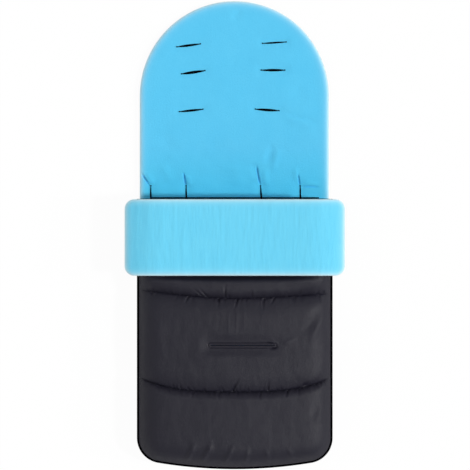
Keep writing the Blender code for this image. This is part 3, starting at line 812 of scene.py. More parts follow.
# Puckers at the quilting seams: place across, side of the seam, length, depth and slant
UPPER_PUCKERS = [
    (-0.0189, 1, 0.030, 0.0022, -0.05),
    (0.0345, 1, 0.020, 0.0016, 0.05),
    (-0.0640, 1, 0.020, 0.0018, -1.20),
    (-0.0560, 1, 0.022, 0.0016, -0.90),
    (0.1320, 1, 0.018, 0.0015, 0.30),
    (0.1760, 1, 0.016, 0.0016, 0.80),
    (-0.1480, 1, 0.014, 0.0012, -0.30),
    (-0.1700, -1, 0.014, 0.0014, 0.30),
    (-0.0940, -1, 0.018, 0.0016, -0.50),
    (-0.0320, -1, 0.022, 0.0019, -0.10),
    (0.0055, -1, 0.026, 0.0021, -0.25),
    (0.0590, -1, 0.030, 0.0020, -0.05),
    (0.0810, -1, 0.018, 0.0016, -0.50),
    (0.1180, -1, 0.018, 0.0014, 0.10),
    (0.1700, -1, 0.020, 0.0018, 0.40),
]
HINGE_PUCKERS = [
    (-0.0045, 1, 0.034, 0.0024, 0.42),
    (0.0676, 1, 0.026, 0.0018, 0.05),
    (-0.1100, 1, 0.018, 0.0014, -0.20),
    (-0.0300, 1, 0.014, 0.0012, 0.10),
    (0.1380, 1, 0.022, 0.0014, 0.50),
    (-0.0330, -1, 0.018, 0.0018, 0.00),
    (0.0050, -1, 0.014, 0.0014, 0.05),
    (0.0520, -1, 0.018, 0.0018, -0.05),
    (0.1080, -1, 0.020, 0.0017, -0.25),
    (0.1300, -1, 0.018, 0.0017, 0.10),
    (0.1480, -1, 0.020, 0.0019, 0.20),
    (0.1660, -1, 0.018, 0.0016, 0.35),
    (-0.1550, -1, 0.018, 0.0014, -0.20),
    (-0.0850, -1, 0.016, 0.0013, -0.20),
]

# Soft folds in the cover's fields: from, to, half width, height
COVER_FOLDS = [
    ((0.1960, -0.1500), (0.1470, -0.2240), 0.0080, 0.0026),
    ((0.1800, -0.1400), (0.1340, -0.2080), 0.0080, -0.0018),
    ((0.1960, -0.1950), (0.1640, -0.2500), 0.0090, -0.0014),
    ((0.1880, -0.2720), (0.1400, -0.3080), 0.0085, 0.0020),
    ((0.1860, -0.3350), (0.1680, -0.3900), 0.0085, 0.0018),
    ((0.1720, -0.3350), (0.1540, -0.3860), 0.0085, -0.0012),
    ((-0.0120, -0.1520), (-0.0140, -0.2080), 0.0024, 0.0004),
    ((0.0040, -0.1500), (0.0030, -0.2100), 0.0024, 0.0005),
    ((0.0190, -0.1500), (0.0200, -0.2050), 0.0024, 0.0004),
    ((-0.0300, -0.1560), (-0.0340, -0.2040), 0.0034, -0.0005),
    ((0.0960, -0.2250), (0.1300, -0.2050), 0.0050, 0.0010),
    ((-0.1600, -0.1700), (-0.1500, -0.2600), 0.0120, 0.0012),
    ((-0.1050, -0.4700), (-0.0780, -0.4260), 0.0050, 0.0054),
    ((-0.0740, -0.4740), (-0.0430, -0.4240), 0.0050, 0.0056),
    ((-0.0290, -0.4760), (0.0010, -0.4300), 0.0048, 0.0046),
    ((0.0180, -0.4760), (0.0300, -0.4340), 0.0046, 0.0036),
    ((0.0700, -0.4730), (0.0640, -0.4360), 0.0050, 0.0024),
    ((0.1200, -0.4640), (0.1080, -0.4320), 0.0050, 0.0022),
]


# Creases that run off the welt's right end
WELT_FOLDS = [
    ((0.0640, -0.2195), (0.0860, -0.2270), 0.0024, -0.0020),
    ((0.0700, -0.2160), (0.0900, -0.2230), 0.0028, 0.0012),
    ((0.0690, -0.2330), (0.0900, -0.2285), 0.0026, -0.0022),
]


def scattered_puckers(seed):
    """Small puckers between the big ones, the same on every run."""
    chance = np.random.default_rng(seed)
    rows = []
    for i in range(SCATTER_COUNT):
        spot = i + chance.uniform(*SCATTER_SHIFTS)
        across = -SCATTER_HALF + 2 * SCATTER_HALF * spot / SCATTER_COUNT
        side = chance.choice((-1, 1))
        length = chance.uniform(*SCATTER_LENGTHS)
        depth = chance.uniform(*SCATTER_DEPTHS)
        slant = chance.uniform(*SCATTER_SLANTS)
        rows.append((across, side, length, depth, slant))
    return rows


def puckers(x, y, seam, rows):
    """Little valleys with raised sides that run off a quilting seam."""
    height = np.zeros_like(y)
    for across, side, length, depth, slant in rows:
        along = side * (y - seam_place(seam, across))
        run = along / length
        off = (x - across - slant * np.clip(along, 0, None)) / PUCKER_WIDTH
        shape = (1 - PUCKER_SIDES * off**2) * np.exp(-(off**2))
        height -= depth * shape * smooth_step(along / PUCKER_START) * smooth_step(1 - run)
    return PUCKER_STRENGTH * height


def drawn_in(off, reach):
    """How far a quilting seam draws the cover in at a distance from it: 1 at the seam, 0 past its reach."""
    share = np.clip(off / reach, 0, 1)
    return BOWL_SHARE * (1 - share) ** 2 + VALLEY_SHARE * (1 - np.sqrt(1 - (1 - share) ** 2))


def quilting(x, y):
    """How far the cover's outer skin stands off its plain arch: its seams, puckers and folds."""
    height = np.full_like(y, CROWN_PUFF)
    seams = ((UPPER_SEAM, UPPER_REACHES, UPPER_PUCKERS, 11), (HINGE_SEAM, HINGE_REACHES, HINGE_PUCKERS, 23))
    for seam, (below, above), rows, seed in seams:
        waver = WAVER * np.sin(x * WAVER_TURNS[0] + seed) * np.sin(x * WAVER_TURNS[1])
        off = y - seam_place(seam, x) + waver
        height -= SEAM_DIP * np.where(off > 0, drawn_in(off, above), drawn_in(-off, below))
        height -= GROOVE_DEPTH * np.exp(-((off / GROOVE_WIDTH) ** 2))
        height += puckers(x, y, seam, rows + scattered_puckers(seed))
    pressed = np.exp(-(((y - CUFF_LOW.y - PRESSED_SETBACK) / PRESSED_REACH) ** 2))
    height -= PRESSED_DEPTH * pressed * (1 - PRESSED_EASE * (np.abs(x) / SHELL_HALF) ** PRESSED_POWER)
    height += bumps(x, y, COVER_BUMPS) + folds(x, y, COVER_FOLDS)
    groove = np.exp(-(((welt_distance(x, y) - WELT_EDGE) / WELT_GROOVE_WIDTH) ** 2))
    height = height * calm_by_welt(x, y) - WELT_GROOVE * groove + folds(x, y, WELT_FOLDS)
    covered = smooth_step((y - CUFF_LOW.y + COVERED_START) / COVERED_REACH)
    height -= covered * np.maximum(height, 0)
    gentle = GENTLE_SHARE * DEEPEST
    over = np.maximum(-height - gentle, 0) / (DEEPEST - gentle)
    return np.where(over > 0, -gentle - (DEEPEST - gentle) * np.tanh(over), height)


def calm_by_welt(x, y):
    """The cover lies plain along its welt, and loose from a little way off it."""
    return smooth_step((welt_distance(x, y) - WELT_CALM) / WELT_CALM_REACH)


def crown_fall(x, y):
    """How far the whole padded cover falls away towards its sides, below the mouth's plain arch."""
    below_mouth = smooth_step((CUFF_LOW.y + FALL_START - y) / FALL_REACH)
    return -CROWN_FALL * (x / SHELL_HALF) ** 2 * below_mouth * calm_by_welt(x, y)


def welt_distance(x, y):
    """How far each place lies off the welt's middle line."""
    inset = WELT_HALF_GAP + WELT_LIP
    return along_line(x, y, (WELT_LOW.x + inset, WELT_MIDDLE), (WELT_HIGH.x - inset, WELT_MIDDLE))[1]


def lid_rows(x, _depth):
    """Rows from the fold's seam to the mouth, level and close together along the welt."""
    hinge = seam_place(HINGE_SEAM, x) + SEAM_GAP / 2
    upper = seam_place(UPPER_SEAM, x)
    band = WELT_MIDDLE + np.arange(-WELT_BAND, WELT_BAND + WELT_ROW_STEP / 2, WELT_ROW_STEP)
    below = hinge + (band[0] - hinge) * eased(LID_FIELD_ROWS)[:-1, None]
    level_rows = band[:, None] + np.zeros_like(x)
    between = band[-1] + (upper - band[-1]) * eased(LID_FIELD_ROWS)[1:, None]
    above = upper + (LID_END - upper) * eased(LID_MOUTH_ROWS)[1:, None]
    return np.concatenate([below, level_rows, between, above]), 1.0


def toe_rows(x, depth):
    """Rows from the fold's seam to the foot, with how far the toe's edge has risen at each."""
    hinge = seam_place(HINGE_SEAM, x) - SEAM_GAP / 2
    foot = foot_edge(x, SHELL_INSET + depth)
    shares = edge_shares(TOE_STEPS)
    reach = TOE_REACH - depth
    last = foot + reach
    field = hinge + (last - hinge) * eased(TOE_FIELD_ROWS)[:-1, None]
    rolled = foot + reach * shares[::-1, None]
    rise = np.concatenate([np.ones(TOE_FIELD_ROWS), swell(shares)[::-1]])[:, None]
    return np.concatenate([field, rolled]), rise


def cover_surface(rows, depth, relief):
    """A layer of the cover as a grid of points, at a depth under the plain arch."""
    x, rise = cover_columns(depth)
    y, foot_rise = rows(x, depth)
    lift = rise * foot_rise
    z = RIM + (CROWN - RIM - depth + crown_fall(x, y) + relief(x, y)) * lift
    return np.dstack([np.broadcast_to(x, y.shape), y, np.broadcast_to(z, y.shape)])


def level(x, y):
    """No relief: the layer follows the plain arch."""
    return np.zeros_like(y)


def lining_relief(x, y):
    """Inside, the fleece swells between the seams and is drawn up at them."""
    swollen = bumps(x, y, LINING_BUMPS) - LINING_SINK
    drawn = np.zeros_like(y)
    for seam in (UPPER_SEAM, HINGE_SEAM):
        off = y - seam_place(seam, x)
        drawn = np.maximum(drawn, np.exp(-((off / DRAWN_REACH) ** 2)))
    return swollen * (1 - drawn) + DRAWN_RISE * drawn


def welt_outline(grow, points=72):
    """A long slot with nearly square ends, grown outwards."""
    half = (WELT_HIGH.x - WELT_LOW.x) / 2 - WELT_LIP - WELT_HALF_GAP
    middle = (WELT_HIGH.x + WELT_LOW.x) / 2
    radius = WELT_HALF_GAP + grow
    ends = arc((0, 0), 1, -math.pi / 2, math.pi / 2, points // 2 - 1)
    power = WELT_ROUNDNESS
    ends = [(half + radius * x**power, math.copysign(radius * abs(y) ** power, y)) for x, y in ends]
    outline = ends + [(-x, -y) for x, y in ends]
    return [(middle + x, WELT_MIDDLE + y) for x, y in outline]


def make_cover(shell, fleece):
    """Quilted black outside and fleece inside, for the toe box and for the lid."""
    for part, rows in (("toe", toe_rows), ("lid", lid_rows)):
        quilt = Cloth()
        quilt.slab(cover_surface(rows, 0, quilting), cover_surface(rows, QUILT_DEPTH, level))
        quilt = quilt.piece(part + "_quilt")
        lining = Cloth()
        under = cover_surface(rows, COVER_THICKNESS, lining_relief)
        lining.slab(cover_surface(rows, LINING_DEPTH, level), under)
        lining = lining.piece(part + "_fleece_lining")
        if part == "lid":
            tool = Cloth()
            edge = welt_outline(WELT_WALL + CLEARANCE)
            tool.rings([[(x, y, z) for x, y in edge] for z in WELT_CUT])
            tool = tool.piece("welt_cutter")
            carve(quilt, tool)
            carve(lining, tool)
            discard(tool)
        dress(quilt, shell, [part + "_shell", part + "_wadding"])
        dress(lining, fleece, [part + "_lining"])
        for layer, fill in ((quilt, 0.6), (lining, 0.5)):
            if part == "lid":
                bend_with_lid(layer)
            else:
                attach(layer, "mat")


def make_seam_stitches(name, seam, thread, body):
    """A row of thread stitches down in a quilting seam's groove."""
    stitches = Cloth()
    for across in np.arange(-STITCHED_HALF, STITCHED_HALF, STITCH_PITCH):
        places = np.linspace(across, across + STITCH_LENGTH, len(STITCH_ARCH))
        path = []
        for x, lift in zip(places, STITCH_ARCH):
            y = np.array([seam_place(seam, x)])
            skin = quilting(np.array([x]), y) + crown_fall(np.array([x]), y)
            path.append((x, float(y[0]), arch_height(x) + float(skin[0]) + STITCH_LIFT + lift))
        sweep(stitches, path, round_section(STITCH_RADIUS, sides=6))
    piece = stitches.piece(name)
    dress(piece, thread)
    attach(piece, body)


def make_welt(shell):
    """Two folded lips that close a slit, with their sleeve through the lid."""
    base = CROWN + CLEARANCE
    foot = CROWN - COVER_THICKNESS
    lips = [(out, base - down) for out, down in WELT_LIPS]
    section = [(lips[0][0], foot), *lips, (lips[-1][0], foot)]
    welt = Cloth()
    welt.rings([[(x, y, z) for x, y in welt_outline(grow)] for grow, z in section], looped=True)
    piece = dress(welt.piece("lid_welt_lips", crease=SEWN_CREASE), shell, ["lid_welt"])
    bend_with_lid(piece)


def make_piping(trim):
    """A fabric-covered cord round the cover's rim: round the toe box, and up each side of the lid."""
    radius = PIPING_REACH / 2
    height = (PIPING_HIGH.z + PIPING_LOW.z) / 2
    flatter = (PIPING_HIGH.z - PIPING_LOW.z) / PIPING_REACH
    section = [(out, up * flatter) for out, up in round_section(radius)]
    start = FOLD_START - SEAM_GAP / 2
    cord = Cloth()
    path = [(x, y, height) for x, y in foot_path(radius, start)]
    sweep(cord, path, section)
    piece = dress(cord.piece("toe_piping_cord"), trim, ["toe_piping"])
    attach(piece, "mat")
    for side, word in ((-1, "left"), (1, "right")):
        cord = Cloth()
        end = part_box("lid_piping_" + word)[1].y
        places = np.linspace(start + SEAM_GAP, end, PIPING_ROWS)
        path = [(side * (COVER_HALF - radius), y, height) for y in places]
        sweep(cord, path, section)
        piece = dress(cord.piece("lid_piping_cord_" + word), trim, ["lid_piping_" + word])
        bend_with_lid(piece)


def make_foot_wall(shell):
    """The wall of fabric between the mat's edge and the cover's rim, round the feet."""
    low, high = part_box("foot_wall")
    path = foot_path(COVER_HALF - high.x, high.y)
    heading = np.gradient(path, axis=0)
    heading /= np.linalg.norm(heading, axis=1)[:, None]
    outward = np.column_stack([heading[:, 1], -heading[:, 0]])
    travel = np.cumsum(np.append(0, np.hypot(*np.diff(path, axis=0).T)))
    outer, inner = [], []
    for share in np.linspace(0, 1, WALL_STEPS + 1):
        z = np.full(len(path), low.z + (high.z - low.z) * share)
        ripple = bumps(travel, np.full_like(travel, share * WALL_SHIFT), WALL_BUMPS)
        out = math.sin(math.pi * share) * (WALL_BELLY + ripple)
        for layer, reach in ((outer, out), (inner, out - WALL_THICKNESS)):
            layer.append(np.column_stack([path + outward * reach[:, None], z]))
    wall = Cloth()
    wall.slab(np.array(outer), np.array(inner))
    piece = dress(wall.piece("foot_wall_cloth"), shell, ["foot_wall"])
    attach(piece, "mat")


# Making the mouth and the cuff


def make_mouth_binding(trim):
    """Tape that binds the lid's raw end, rounded over its front."""
    back, front = LID_END + CLEARANCE, HEM_FRONT + CLEARANCE
    section = [(back, BINDING_SINK)] + [(front - setback, depth) for setback, depth in BINDING_FRONT]
    section += [(y, COVER_THICKNESS - depth) for y, depth in reversed(section)]
    columns = [cover_columns(depth) for _, depth in section]
    rings = []
    for i in range(len(columns[0][0])):
        ring = []
        for (y, depth), (x, rise) in zip(section, columns):
            ring.append((x[i], y, RIM + (CROWN - RIM - depth) * rise[i]))
        rings.append(ring)
    binding = Cloth()
    binding.rings(rings)
    piece = dress(binding.piece("mouth_binding"), trim, ["mouth_hem"])
    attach(piece, "lid")


def cuff_droop(x):
    """How far the cuff's ends hang down past the cover's shoulders."""
    hang = np.clip((np.abs(x) - CUFF_DROOP_START) / (CUFF_HALF - CUFF_DROOP_START), 0, 1)
    return CUFF_DROOP * hang**2


def edge_and_field(half, field_steps):
    """Places from one edge to the other with how far the rolled edge has risen, and a flat field between."""
    shares = edge_shares(CUFF_ROLL_STEPS)
    flat = half - CUFF_ROLL
    outer = flat + CUFF_ROLL * (1 - shares)
    field = np.linspace(-flat, flat, field_steps + 1)[1:-1]
    places = np.concatenate([-outer, field, outer[::-1]])
    rise = np.concatenate([swell(shares), np.ones(len(field)), swell(shares)[::-1]])
    return places, rise


def cuff_face(height, sign, relief):
    """The cuff's upper or lower face as a grid of points, from its seam to a height."""
    across, rise_across = edge_and_field(CUFF_HALF, CUFF_COLUMNS)
    along, rise_along = edge_and_field(CUFF_REACH, CUFF_ROWS)
    over = np.maximum(np.abs(across) - (CUFF_HALF - CUFF_CORNER), 0)
    pulled = CUFF_CORNER - np.sqrt(np.maximum(CUFF_CORNER**2 - over**2, 0))
    x = np.broadcast_to(across, (len(along), len(across)))
    share = along[:, None] / CUFF_REACH
    y = CUFF_MIDDLE + along[:, None] - share * pulled[None, :]
    lift = rise_along[:, None] * rise_across[None, :]
    seam = CUFF_SEAM + sign * CLEARANCE / 2 - cuff_droop(x)
    return np.dstack([x, y, seam + sign * lift * (height + relief(x, y))])


def cuff_relief(x, y):
    """Faint upright wrinkles and soft swells in the cuff's face."""
    return bumps(x, y, CUFF_BUMPS) - CUFF_SINK


def cuff_distance(x, y):
    """How far inside the cuff's round-cornered outline each place lies."""
    over_x = np.abs(x) - (CUFF_HALF - CUFF_CORNER)
    over_y = np.abs(y - CUFF_MIDDLE) - (CUFF_REACH - CUFF_CORNER)
    outside = np.hypot(np.maximum(over_x, 0), np.maximum(over_y, 0))
    return CUFF_CORNER - outside - np.minimum(np.maximum(over_x, over_y), 0)


def make_cuff(fleece):
    """The padded fleece band with its rolled edges."""
    cuff = Cloth()
    face = cuff_face(CUFF_TOP - CUFF_SEAM, 1, cuff_relief)
    back = cuff_face(CUFF_SEAM - CUFF_BASE, -1, level)
    cuff.slab(face, back)
    piece = cuff.piece("cuff_pad", crease=SEWN_CREASE)
    mark_sheen_rim(piece, cuff_distance, CUFF_SHEEN_FADE)
    dress(piece, fleece, ["cuff_face", "cuff_back", "cuff_wadding"])
    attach(piece, "cuff")


def make_mouth_shadow_fold(trim):
    """The fabric between the lid's bound end and the cuff, where the cuff is turned down. It is black, so
    that its front under the cuff's upper edge makes a painted shadow line there.
    """
    x, rise = cover_columns(MOUTH_DEPTH)
    inside = np.abs(x) < MOUTH_HALF
    x, rise = x[inside], rise[inside]
    arch = RIM + (CROWN - RIM - MOUTH_DEPTH) * rise
    top = CUFF_SEAM - MOUTH_TUCK - cuff_droop(x)
    front = HEM_FRONT + CLEARANCE
    outer, inner = [], []
    for share in np.linspace(0, 1, MOUTH_STEPS + 1):
        y = np.full_like(x, front + CLEARANCE + MOUTH_BULGE * math.sin(math.pi / 2 * share))
        z = arch + (top - arch) * share
        outer.append(np.column_stack([x, y + MOUTH_WALL, z]))
        inner.append(np.column_stack([x, y, z]))
    shadow_web = Cloth()
    shadow_web.slab(np.array(outer), np.array(inner))
    piece = dress(shadow_web.piece("mouth_shadow_fold"), trim)
    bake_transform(piece)


# Making the zips


def make_zip(side, word, trim, plastic):
    """Woven tapes and wound coils of one zip, on the mat's side and on the lid's."""
    rows = (
        ("mat", (TAPE_LOW, TAPE_HIGH), CHAIN_HEIGHT - COIL_OFFSET, 0.0),
        ("lid", (LID_TAPE_LOW, LID_TAPE_HIGH), CHAIN_HEIGHT + COIL_OFFSET, 0.5),
    )
    for part, (low, high), coil_height, phase in rows:
        tape = Cloth()
        places = np.arange(low.y, high.y, TAPE_STEP)
        top = high.z + (TAPE_LAP if part == "lid" else 0)
        heights = np.linspace(low.z, top, TAPE_COLUMNS + 1)
        inner = np.array([[(side * low.x, y, z) for z in heights] for y in places])
        outer = np.array([[(side * high.x, y, z) for z in heights] for y in places])
        tape.slab(outer, inner)
        tape = dress(tape.piece(f"{part}_zip_tape_{word}_woven"), trim, [f"{part}_zip_tape_{word}"])
        coil_low, coil_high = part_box(f"{part}_coil_{word}")
        middle = (coil_low.x + coil_high.x) / 2
        coil = make_coil(f"{part}_coil_{word}_wound", middle, (coil_low.y, coil_high.y), coil_height, phase)
        dress(coil, plastic, [f"{part}_coil_{word}"])
        for piece in (tape, coil):
            if part == "lid":
                bend_with_lid(piece)
            else:
                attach(piece, "mat")


def make_zip_guard(side, word, trim):
    """A folded strip behind the zip, sewn to the lid's tape, that keeps the teeth off the fleece."""
    behind = TAPE_LOW.x - GUARD_SETBACK
    section = [
        (behind, GUARD_FOOT),
        (behind, GUARD_HEAD),
        (TAPE_LOW.x - GUARD_LAP, GUARD_HEAD),
        (TAPE_LOW.x - GUARD_LAP, GUARD_FOLD),
        (behind + GUARD_WALL, GUARD_FOLD - GUARD_SLOPE),
        (behind + GUARD_WALL, GUARD_FOOT),
    ]
    guard = Cloth()
    places = np.arange(LID_TAPE_LOW.y + GUARD_ENDS[0], LID_TAPE_HIGH.y - GUARD_ENDS[1], TAPE_STEP)
    guard.rings([[(side * x, y, z) for x, z in section] for y in places])
    piece = dress(guard.piece("zip_guard_" + word), trim)
    bend_with_lid(piece)


def make_coil(name, across, span, height, phase):
    """One monofilament wound along the tape's edge."""
    line = bpy.data.curves.new(name, "CURVE")
    line.dimensions = "3D"
    line.bevel_depth = COIL_THREAD
    line.bevel_resolution = 0
    line.use_fill_caps = True
    turns = int((span[1] - span[0]) / COIL_PITCH)
    spline = line.splines.new("POLY")
    spline.points.add(COIL_SIDES * turns)
    for i, spot in enumerate(spline.points):
        wound = i / COIL_SIDES
        turn = 2 * math.pi * (wound + phase)
        x = across + COIL_REACH * math.cos(turn)
        y = span[0] + COIL_PITCH * wound + COIL_THREAD
        z = height + COIL_SWING * math.sin(turn)
        spot.co = (x, y, z, 1)
    coil = bpy.data.objects.new(name, line)
    bpy.context.scene.collection.objects.link(coil)
    select_only(coil)
    bpy.ops.object.convert(target="MESH")
    close_up(coil, COIL_CREASE)
    return coil


# Materials


class Value:
    """A socket in a material's maths. Its operators add Math nodes."""

    def __init__(self, finish, socket):
        self.finish = finish
        self.socket = socket

    def maths(self, operation, first, second):
        return self.finish.node("ShaderNodeMath", {"operation": operation}, {0: first, 1: second})

    def __add__(self, other):
        return self.maths("ADD", self, other)

    def __radd__(self, other):
        return self.maths("ADD", other, self)

    def __rsub__(self, other):
        return self.maths("SUBTRACT", other, self)

    def __mul__(self, other):
        return self.maths("MULTIPLY", self, other)

    def __rmul__(self, other):
        return self.maths("MULTIPLY", other, self)

    def __pow__(self, other):
        return self.maths("POWER", self, other)


class Finish:
    """One material: a surface shader and the nodes that feed it."""

    def __init__(self, name, **constants):
        self.material = bpy.data.materials.new(name)
        self.material.use_nodes = True
        self.tree = self.material.node_tree
        self.shader = self.tree.nodes["Principled BSDF"]
        self.surface(**constants)

    def feed(self, node, values):
        for key, value in values.items():
            if isinstance(value, Value):
                self.tree.links.new(value.socket, node.inputs[key])
            else:
                node.inputs[key].default_value = value

    def node(self, kind, settings=None, values=None, output=0):
        made = self.tree.nodes.new(kind)
        for key, value in (settings or {}).items():
            setattr(made, key, value)
        self.feed(made, values or {})
        return Value(self, made.outputs[output])

    def place(self, scale=(1, 1, 1), turn=0.0):
        """The piece's own coordinates, stretched and turned about the vertical."""
        spot = self.node("ShaderNodeTexCoord", output="Object")
        values = {"Vector": spot, "Scale": scale, "Rotation": (0, 0, turn)}
        return self.node("ShaderNodeMapping", None, values)

    def noise(self, place, scale, detail=2.0, roughness=0.5):
        values = {"Vector": place, "Scale": scale, "Detail": detail, "Roughness": roughness}
        return self.node("ShaderNodeTexNoise", None, values)

    def waves(self, place, scale, direction):
        settings = {"wave_type": "BANDS", "bands_direction": direction}
        return self.node("ShaderNodeTexWave", settings, {"Vector": place, "Scale": scale})

    def mix(self, factor, low, high):
        """Blends two colours, which are inputs 6 and 7 and output 2 of the node."""
        return self.node("ShaderNodeMix", {"data_type": "RGBA"}, {0: factor, 6: low, 7: high}, output=2)

    def surface(self, **values):
        self.feed(self.shader, {key.replace("_", " "): value for key, value in values.items()})

    def bump(self, height, depth):
        relief = self.node("ShaderNodeBump", None, {"Height": height, "Distance": depth, "Strength": 1.0})
        self.surface(Normal=relief)


def make_fleece(name, colour, shade, brushed, painted_shade_share):
    """Brushed fleece: short soft pile, with a paler colour at a rolled edge as painted sheen, and a deeper
    blue from the mouth down as painted shade.
    """
    finish = Finish(name, Roughness=0.95, Sheen_Weight=0.55, Sheen_Roughness=0.40, Specular_IOR_Level=0.10)
    finish.surface(Sheen_Tint=(0.75, 0.93, 1.0, 1))
    spot = finish.place()
    pile = finish.noise(spot, scale=1100.0)
    clumps = finish.noise(spot, scale=330.0, detail=3.0, roughness=0.6)
    mottle = finish.noise(spot, scale=26.0, detail=3.0, roughness=0.6)
    combed = finish.place(scale=(260.0, 34.0, 120.0))
    strokes = finish.noise(combed, scale=1.0, detail=3.0, roughness=0.6)
    share = brushed * strokes + (1 - brushed) * clumps
    tone = 0.65 * share + 0.35 * mottle
    # Painted sheen: a paler colour along the rolled edges, strongest on the sewn outline.
    rim = finish.node("ShaderNodeAttribute", {"attribute_name": "rim"}, output="Fac")
    painted_sheen = rim * (0.75 + 0.30 * pile)
    # Painted shade: the colour deepens to a darker blue from partway down the mat towards the mouth and past
    # it, where the cover and cuff shade the fleece.
    along = finish.node("ShaderNodeSeparateXYZ", None, {"Vector": spot}, output=1)
    laid = finish.node("ShaderNodeClamp", None, {"Value": (PAINTED_SHADE_START - along) * PAINTED_SHADE_RATE})
    lining = finish.mix(laid * painted_shade_share, finish.mix(tone, shade, colour), PAINTED_MOUTH_SHADE)
    finish.surface(Base_Color=finish.mix(painted_sheen, lining, PAINTED_EDGE_SHEEN))
    finish.bump(0.45 * pile + 0.55 * share, depth=0.0012)
    return finish.material


def make_shell():
    """Black woven polyester with a low, soft shine and fine crinkles."""
    finish = Finish("black_polyester", Specular_IOR_Level=0.37)
    spot = finish.place()
    weave = finish.waves(spot, 330.0, "X") * finish.waves(spot, 330.0, "Y")
    drawn_out = finish.place(scale=(1.0, 0.6, 1.0))
    crinkle = finish.noise(drawn_out, scale=75.0, detail=4.0, roughness=0.6)
    patches = finish.noise(spot, scale=9.0)
    dark, light = (0.0058, 0.0050, 0.0130, 1), (0.0098, 0.0088, 0.0190, 1)
    finish.surface(Base_Color=finish.mix(0.5 * patches + 0.5 * crinkle, dark, light))
    facing = finish.node("ShaderNodeLayerWeight", None, {"Blend": 0.5}, output="Facing")
    finish.surface(Roughness=0.45 + 0.14 * crinkle + 0.65 * facing * facing)
    finish.bump(0.12 * weave + 0.88 * crinkle, depth=0.0010)
    return finish.material


def make_trim(name, colour, thread_scale):
    """Black tape, piping cloth or thread, with its fine ribs."""
    finish = Finish(name, Specular_IOR_Level=0.0)
    spot = finish.place()
    ribs = finish.waves(spot, thread_scale, "DIAGONAL")
    fluff = finish.noise(spot, scale=700.0)
    light = tuple(2.2 * value for value in colour)
    finish.surface(Base_Color=finish.mix(ribs * fluff, (*colour, 1), (*light, 1)))
    finish.surface(Roughness=0.78 + 0.15 * fluff)
    finish.bump(0.6 * ribs + 0.4 * fluff, depth=0.0003)
    return finish.material


def make_zip_plastic():
    """Black nylon filament, slightly worn where the slider runs."""
    finish = Finish("nylon_coil", Specular_IOR_Level=0.5)
    wear = finish.noise(finish.place(), scale=500.0)
    finish.surface(Base_Color=finish.mix(wear, (0.008, 0.008, 0.009, 1), (0.030, 0.030, 0.033, 1)))
    finish.surface(Roughness=0.32 + 0.2 * wear)
    return finish.material


def make_zip_metal():
    """Black enamel over zinc, with fine scratches that show the metal."""
    finish = Finish("enamelled_zinc", Coat_Roughness=0.2)
    spot = finish.place(scale=(1.0, 0.15, 1.0), turn=0.3)
    scratches = finish.noise(spot, scale=1600.0, detail=3.0, roughness=0.7) ** 6.0
    grain = finish.noise(finish.place(), scale=240.0)
    finish.surface(Base_Color=finish.mix(3.0 * scratches, (0.020, 0.020, 0.022, 1), (0.30, 0.30, 0.31, 1)))
    finish.surface(Metallic=0.35 + 0.4 * grain, Roughness=0.28 + 0.16 * grain, Coat_Weight=0.3 + 0.2 * grain)
    finish.bump(grain, depth=0.00015)
    return finish.material


def finish_hardware(metal):
    """The sliders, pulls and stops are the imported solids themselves, in enamelled metal."""
    for name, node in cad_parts.items():
        if "stop" in name or name.startswith(("slider", "pull")):
            node.data.materials.clear()
            node.data.materials.append(metal)


# Camera and light


def make_camera():
    """Straight above the footmuff, with a long lens, its head end up."""
    view = bpy.data.cameras.new("camera")
    view.lens = CAMERA_LENS
    view.sensor_width = CAMERA_SENSOR
    view.clip_end = CAMERA_REACH
    camera = bpy.data.objects.new("camera", view)
    bpy.context.scene.collection.objects.link(camera)
    distance = VIEW_WIDTH * CAMERA_LENS / CAMERA_SENSOR
    camera.location = (*VIEW_CENTER, VIEW_HEIGHT + distance)
    bpy.context.scene.camera = camera


def make_lamp(name, light, lean):
    """A far lamp above right, aimed at the middle of the footmuff."""
    lamp = bpy.data.lights.new(name, "SUN")
    lamp.energy = light
    lamp.angle = math.radians(LAMP_SPREAD)
    right, footward = (math.tan(math.radians(angle)) for angle in lean)
    place = Vector((LAMP_HEIGHT * right, -LAMP_HEIGHT * footward, LAMP_HEIGHT))
    made = bpy.data.objects.new(name, lamp)
    made.location = place
    made.rotation_euler = (-place).to_track_quat("-Z", "Y").to_euler()
    bpy.context.scene.collection.objects.link(made)


def make_sky():
    """A soft white sky, a little brighter on the left. The camera itself sees it as white."""
    world = bpy.data.worlds.new("studio")
    world.use_nodes = True
    bpy.context.scene.world = world
    tree = world.node_tree
    sky = tree.nodes["Background"]
    sky.inputs["Color"].default_value = (1, 1, 1, 1)
    place = tree.nodes.new("ShaderNodeTexCoord")
    heading = tree.nodes.new("ShaderNodeSeparateXYZ")
    tree.links.new(place.outputs["Generated"], heading.inputs[0])
    light = tree.nodes.new("ShaderNodeMath")
    light.operation = "MULTIPLY_ADD"
    tree.links.new(heading.outputs["X"], light.inputs[0])
    light.inputs[1].default_value = SKY_SLOPE
    light.inputs[2].default_value = SKY_LIGHT
    rays = tree.nodes.new("ShaderNodeLightPath")
    seen = tree.nodes.new("ShaderNodeMix")
    tree.links.new(rays.outputs["Is Camera Ray"], seen.inputs[0])
    tree.links.new(light.outputs[0], seen.inputs[2])
    seen.inputs[3].default_value = 1.0
    tree.links.new(seen.outputs[0], sky.inputs["Strength"])


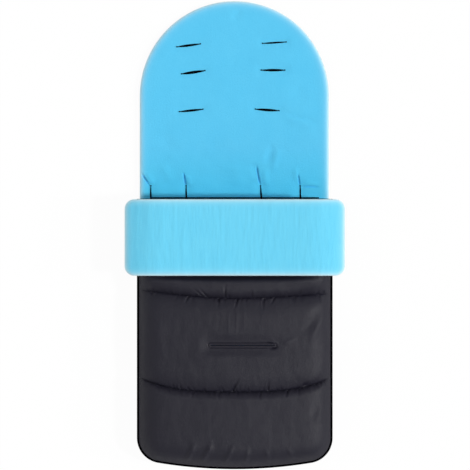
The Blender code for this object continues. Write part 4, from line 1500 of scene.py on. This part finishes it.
def make_floor():
    """A pale floor just under the mat, which glows for the camera so that it looks white."""
    floor = Cloth()
    corners = ((-1, -1), (1, -1), (1, 1), (-1, 1))
    floor.add([(x * FLOOR_HALF, y * FLOOR_HALF, -FLOOR_DROP) for x, y in corners])
    floor.faces.append((0, 1, 2, 3))
    floor = floor.piece("floor")
    finish = Finish("white_floor", Roughness=0.9, Base_Color=(0.97, 0.97, 0.97, 1), Specular_IOR_Level=0.0)
    glow = finish.node("ShaderNodeEmission", None, {"Color": (1, 1, 1, 1), "Strength": 1.0})
    rays = finish.node("ShaderNodeLightPath", output="Is Camera Ray")
    glossy = finish.node("ShaderNodeLightPath", output="Is Glossy Ray")
    clear = finish.node("ShaderNodeLightPath", output="Is Transmission Ray")
    share = FLOOR_GLOW * (rays + glossy + clear)
    paint = Value(finish, finish.shader.outputs[0])
    mixed = finish.node("ShaderNodeMixShader", None, {0: share, 1: paint, 2: glow})
    finish.feed(finish.tree.nodes["Material Output"], {"Surface": mixed})
    floor.data.materials.append(finish.material)


def build():
    bpy.context.scene.view_settings.view_transform = "Standard"
    mat_fleece = make_fleece(
        "mat_fleece",
        colour=(0.140, 0.650, 0.960, 1),
        shade=(0.085, 0.550, 0.890, 1),
        brushed=0.15,
        painted_shade_share=0.45,
    )
    cuff_fleece = make_fleece(
        "cuff_fleece",
        colour=(0.195, 0.720, 0.950, 1),
        shade=(0.125, 0.620, 0.910, 1),
        brushed=0.65,
        painted_shade_share=0.0,
    )
    shell = make_shell()
    trim = make_trim("black_trim", (0.0012, 0.0012, 0.0018), 260.0)
    thread = make_trim("black_thread", (0.0040, 0.0050, 0.0080), 900.0)
    make_mat(mat_fleece, shell)
    for slot in SLOTS:
        make_slot_stitching(slot, thread)
    make_cover(shell, mat_fleece)
    make_seam_stitches("fold_seam_stitches", HINGE_SEAM, thread, "mat")
    make_seam_stitches("upper_seam_stitches", UPPER_SEAM, thread, "lid")
    make_welt(shell)
    make_piping(trim)
    make_foot_wall(shell)
    make_mouth_binding(trim)
    # Black fabric under the cuff's upper edge, whose front is a painted shadow line
    make_mouth_shadow_fold(trim)
    make_cuff(cuff_fleece)
    plastic = make_zip_plastic()
    for side, word in ((-1, "left"), (1, "right")):
        make_zip(side, word, trim, plastic)
        make_zip_guard(side, word, trim)
    finish_hardware(make_zip_metal())
    make_sky()
    make_lamp("lamp", LAMP_LIGHT, LAMP_LEAN)
    make_lamp("low_lamp", LOW_LAMP_LIGHT, LOW_LAMP_LEAN)
    make_floor()
    make_camera()


build()
bpy.context.view_layer.update()
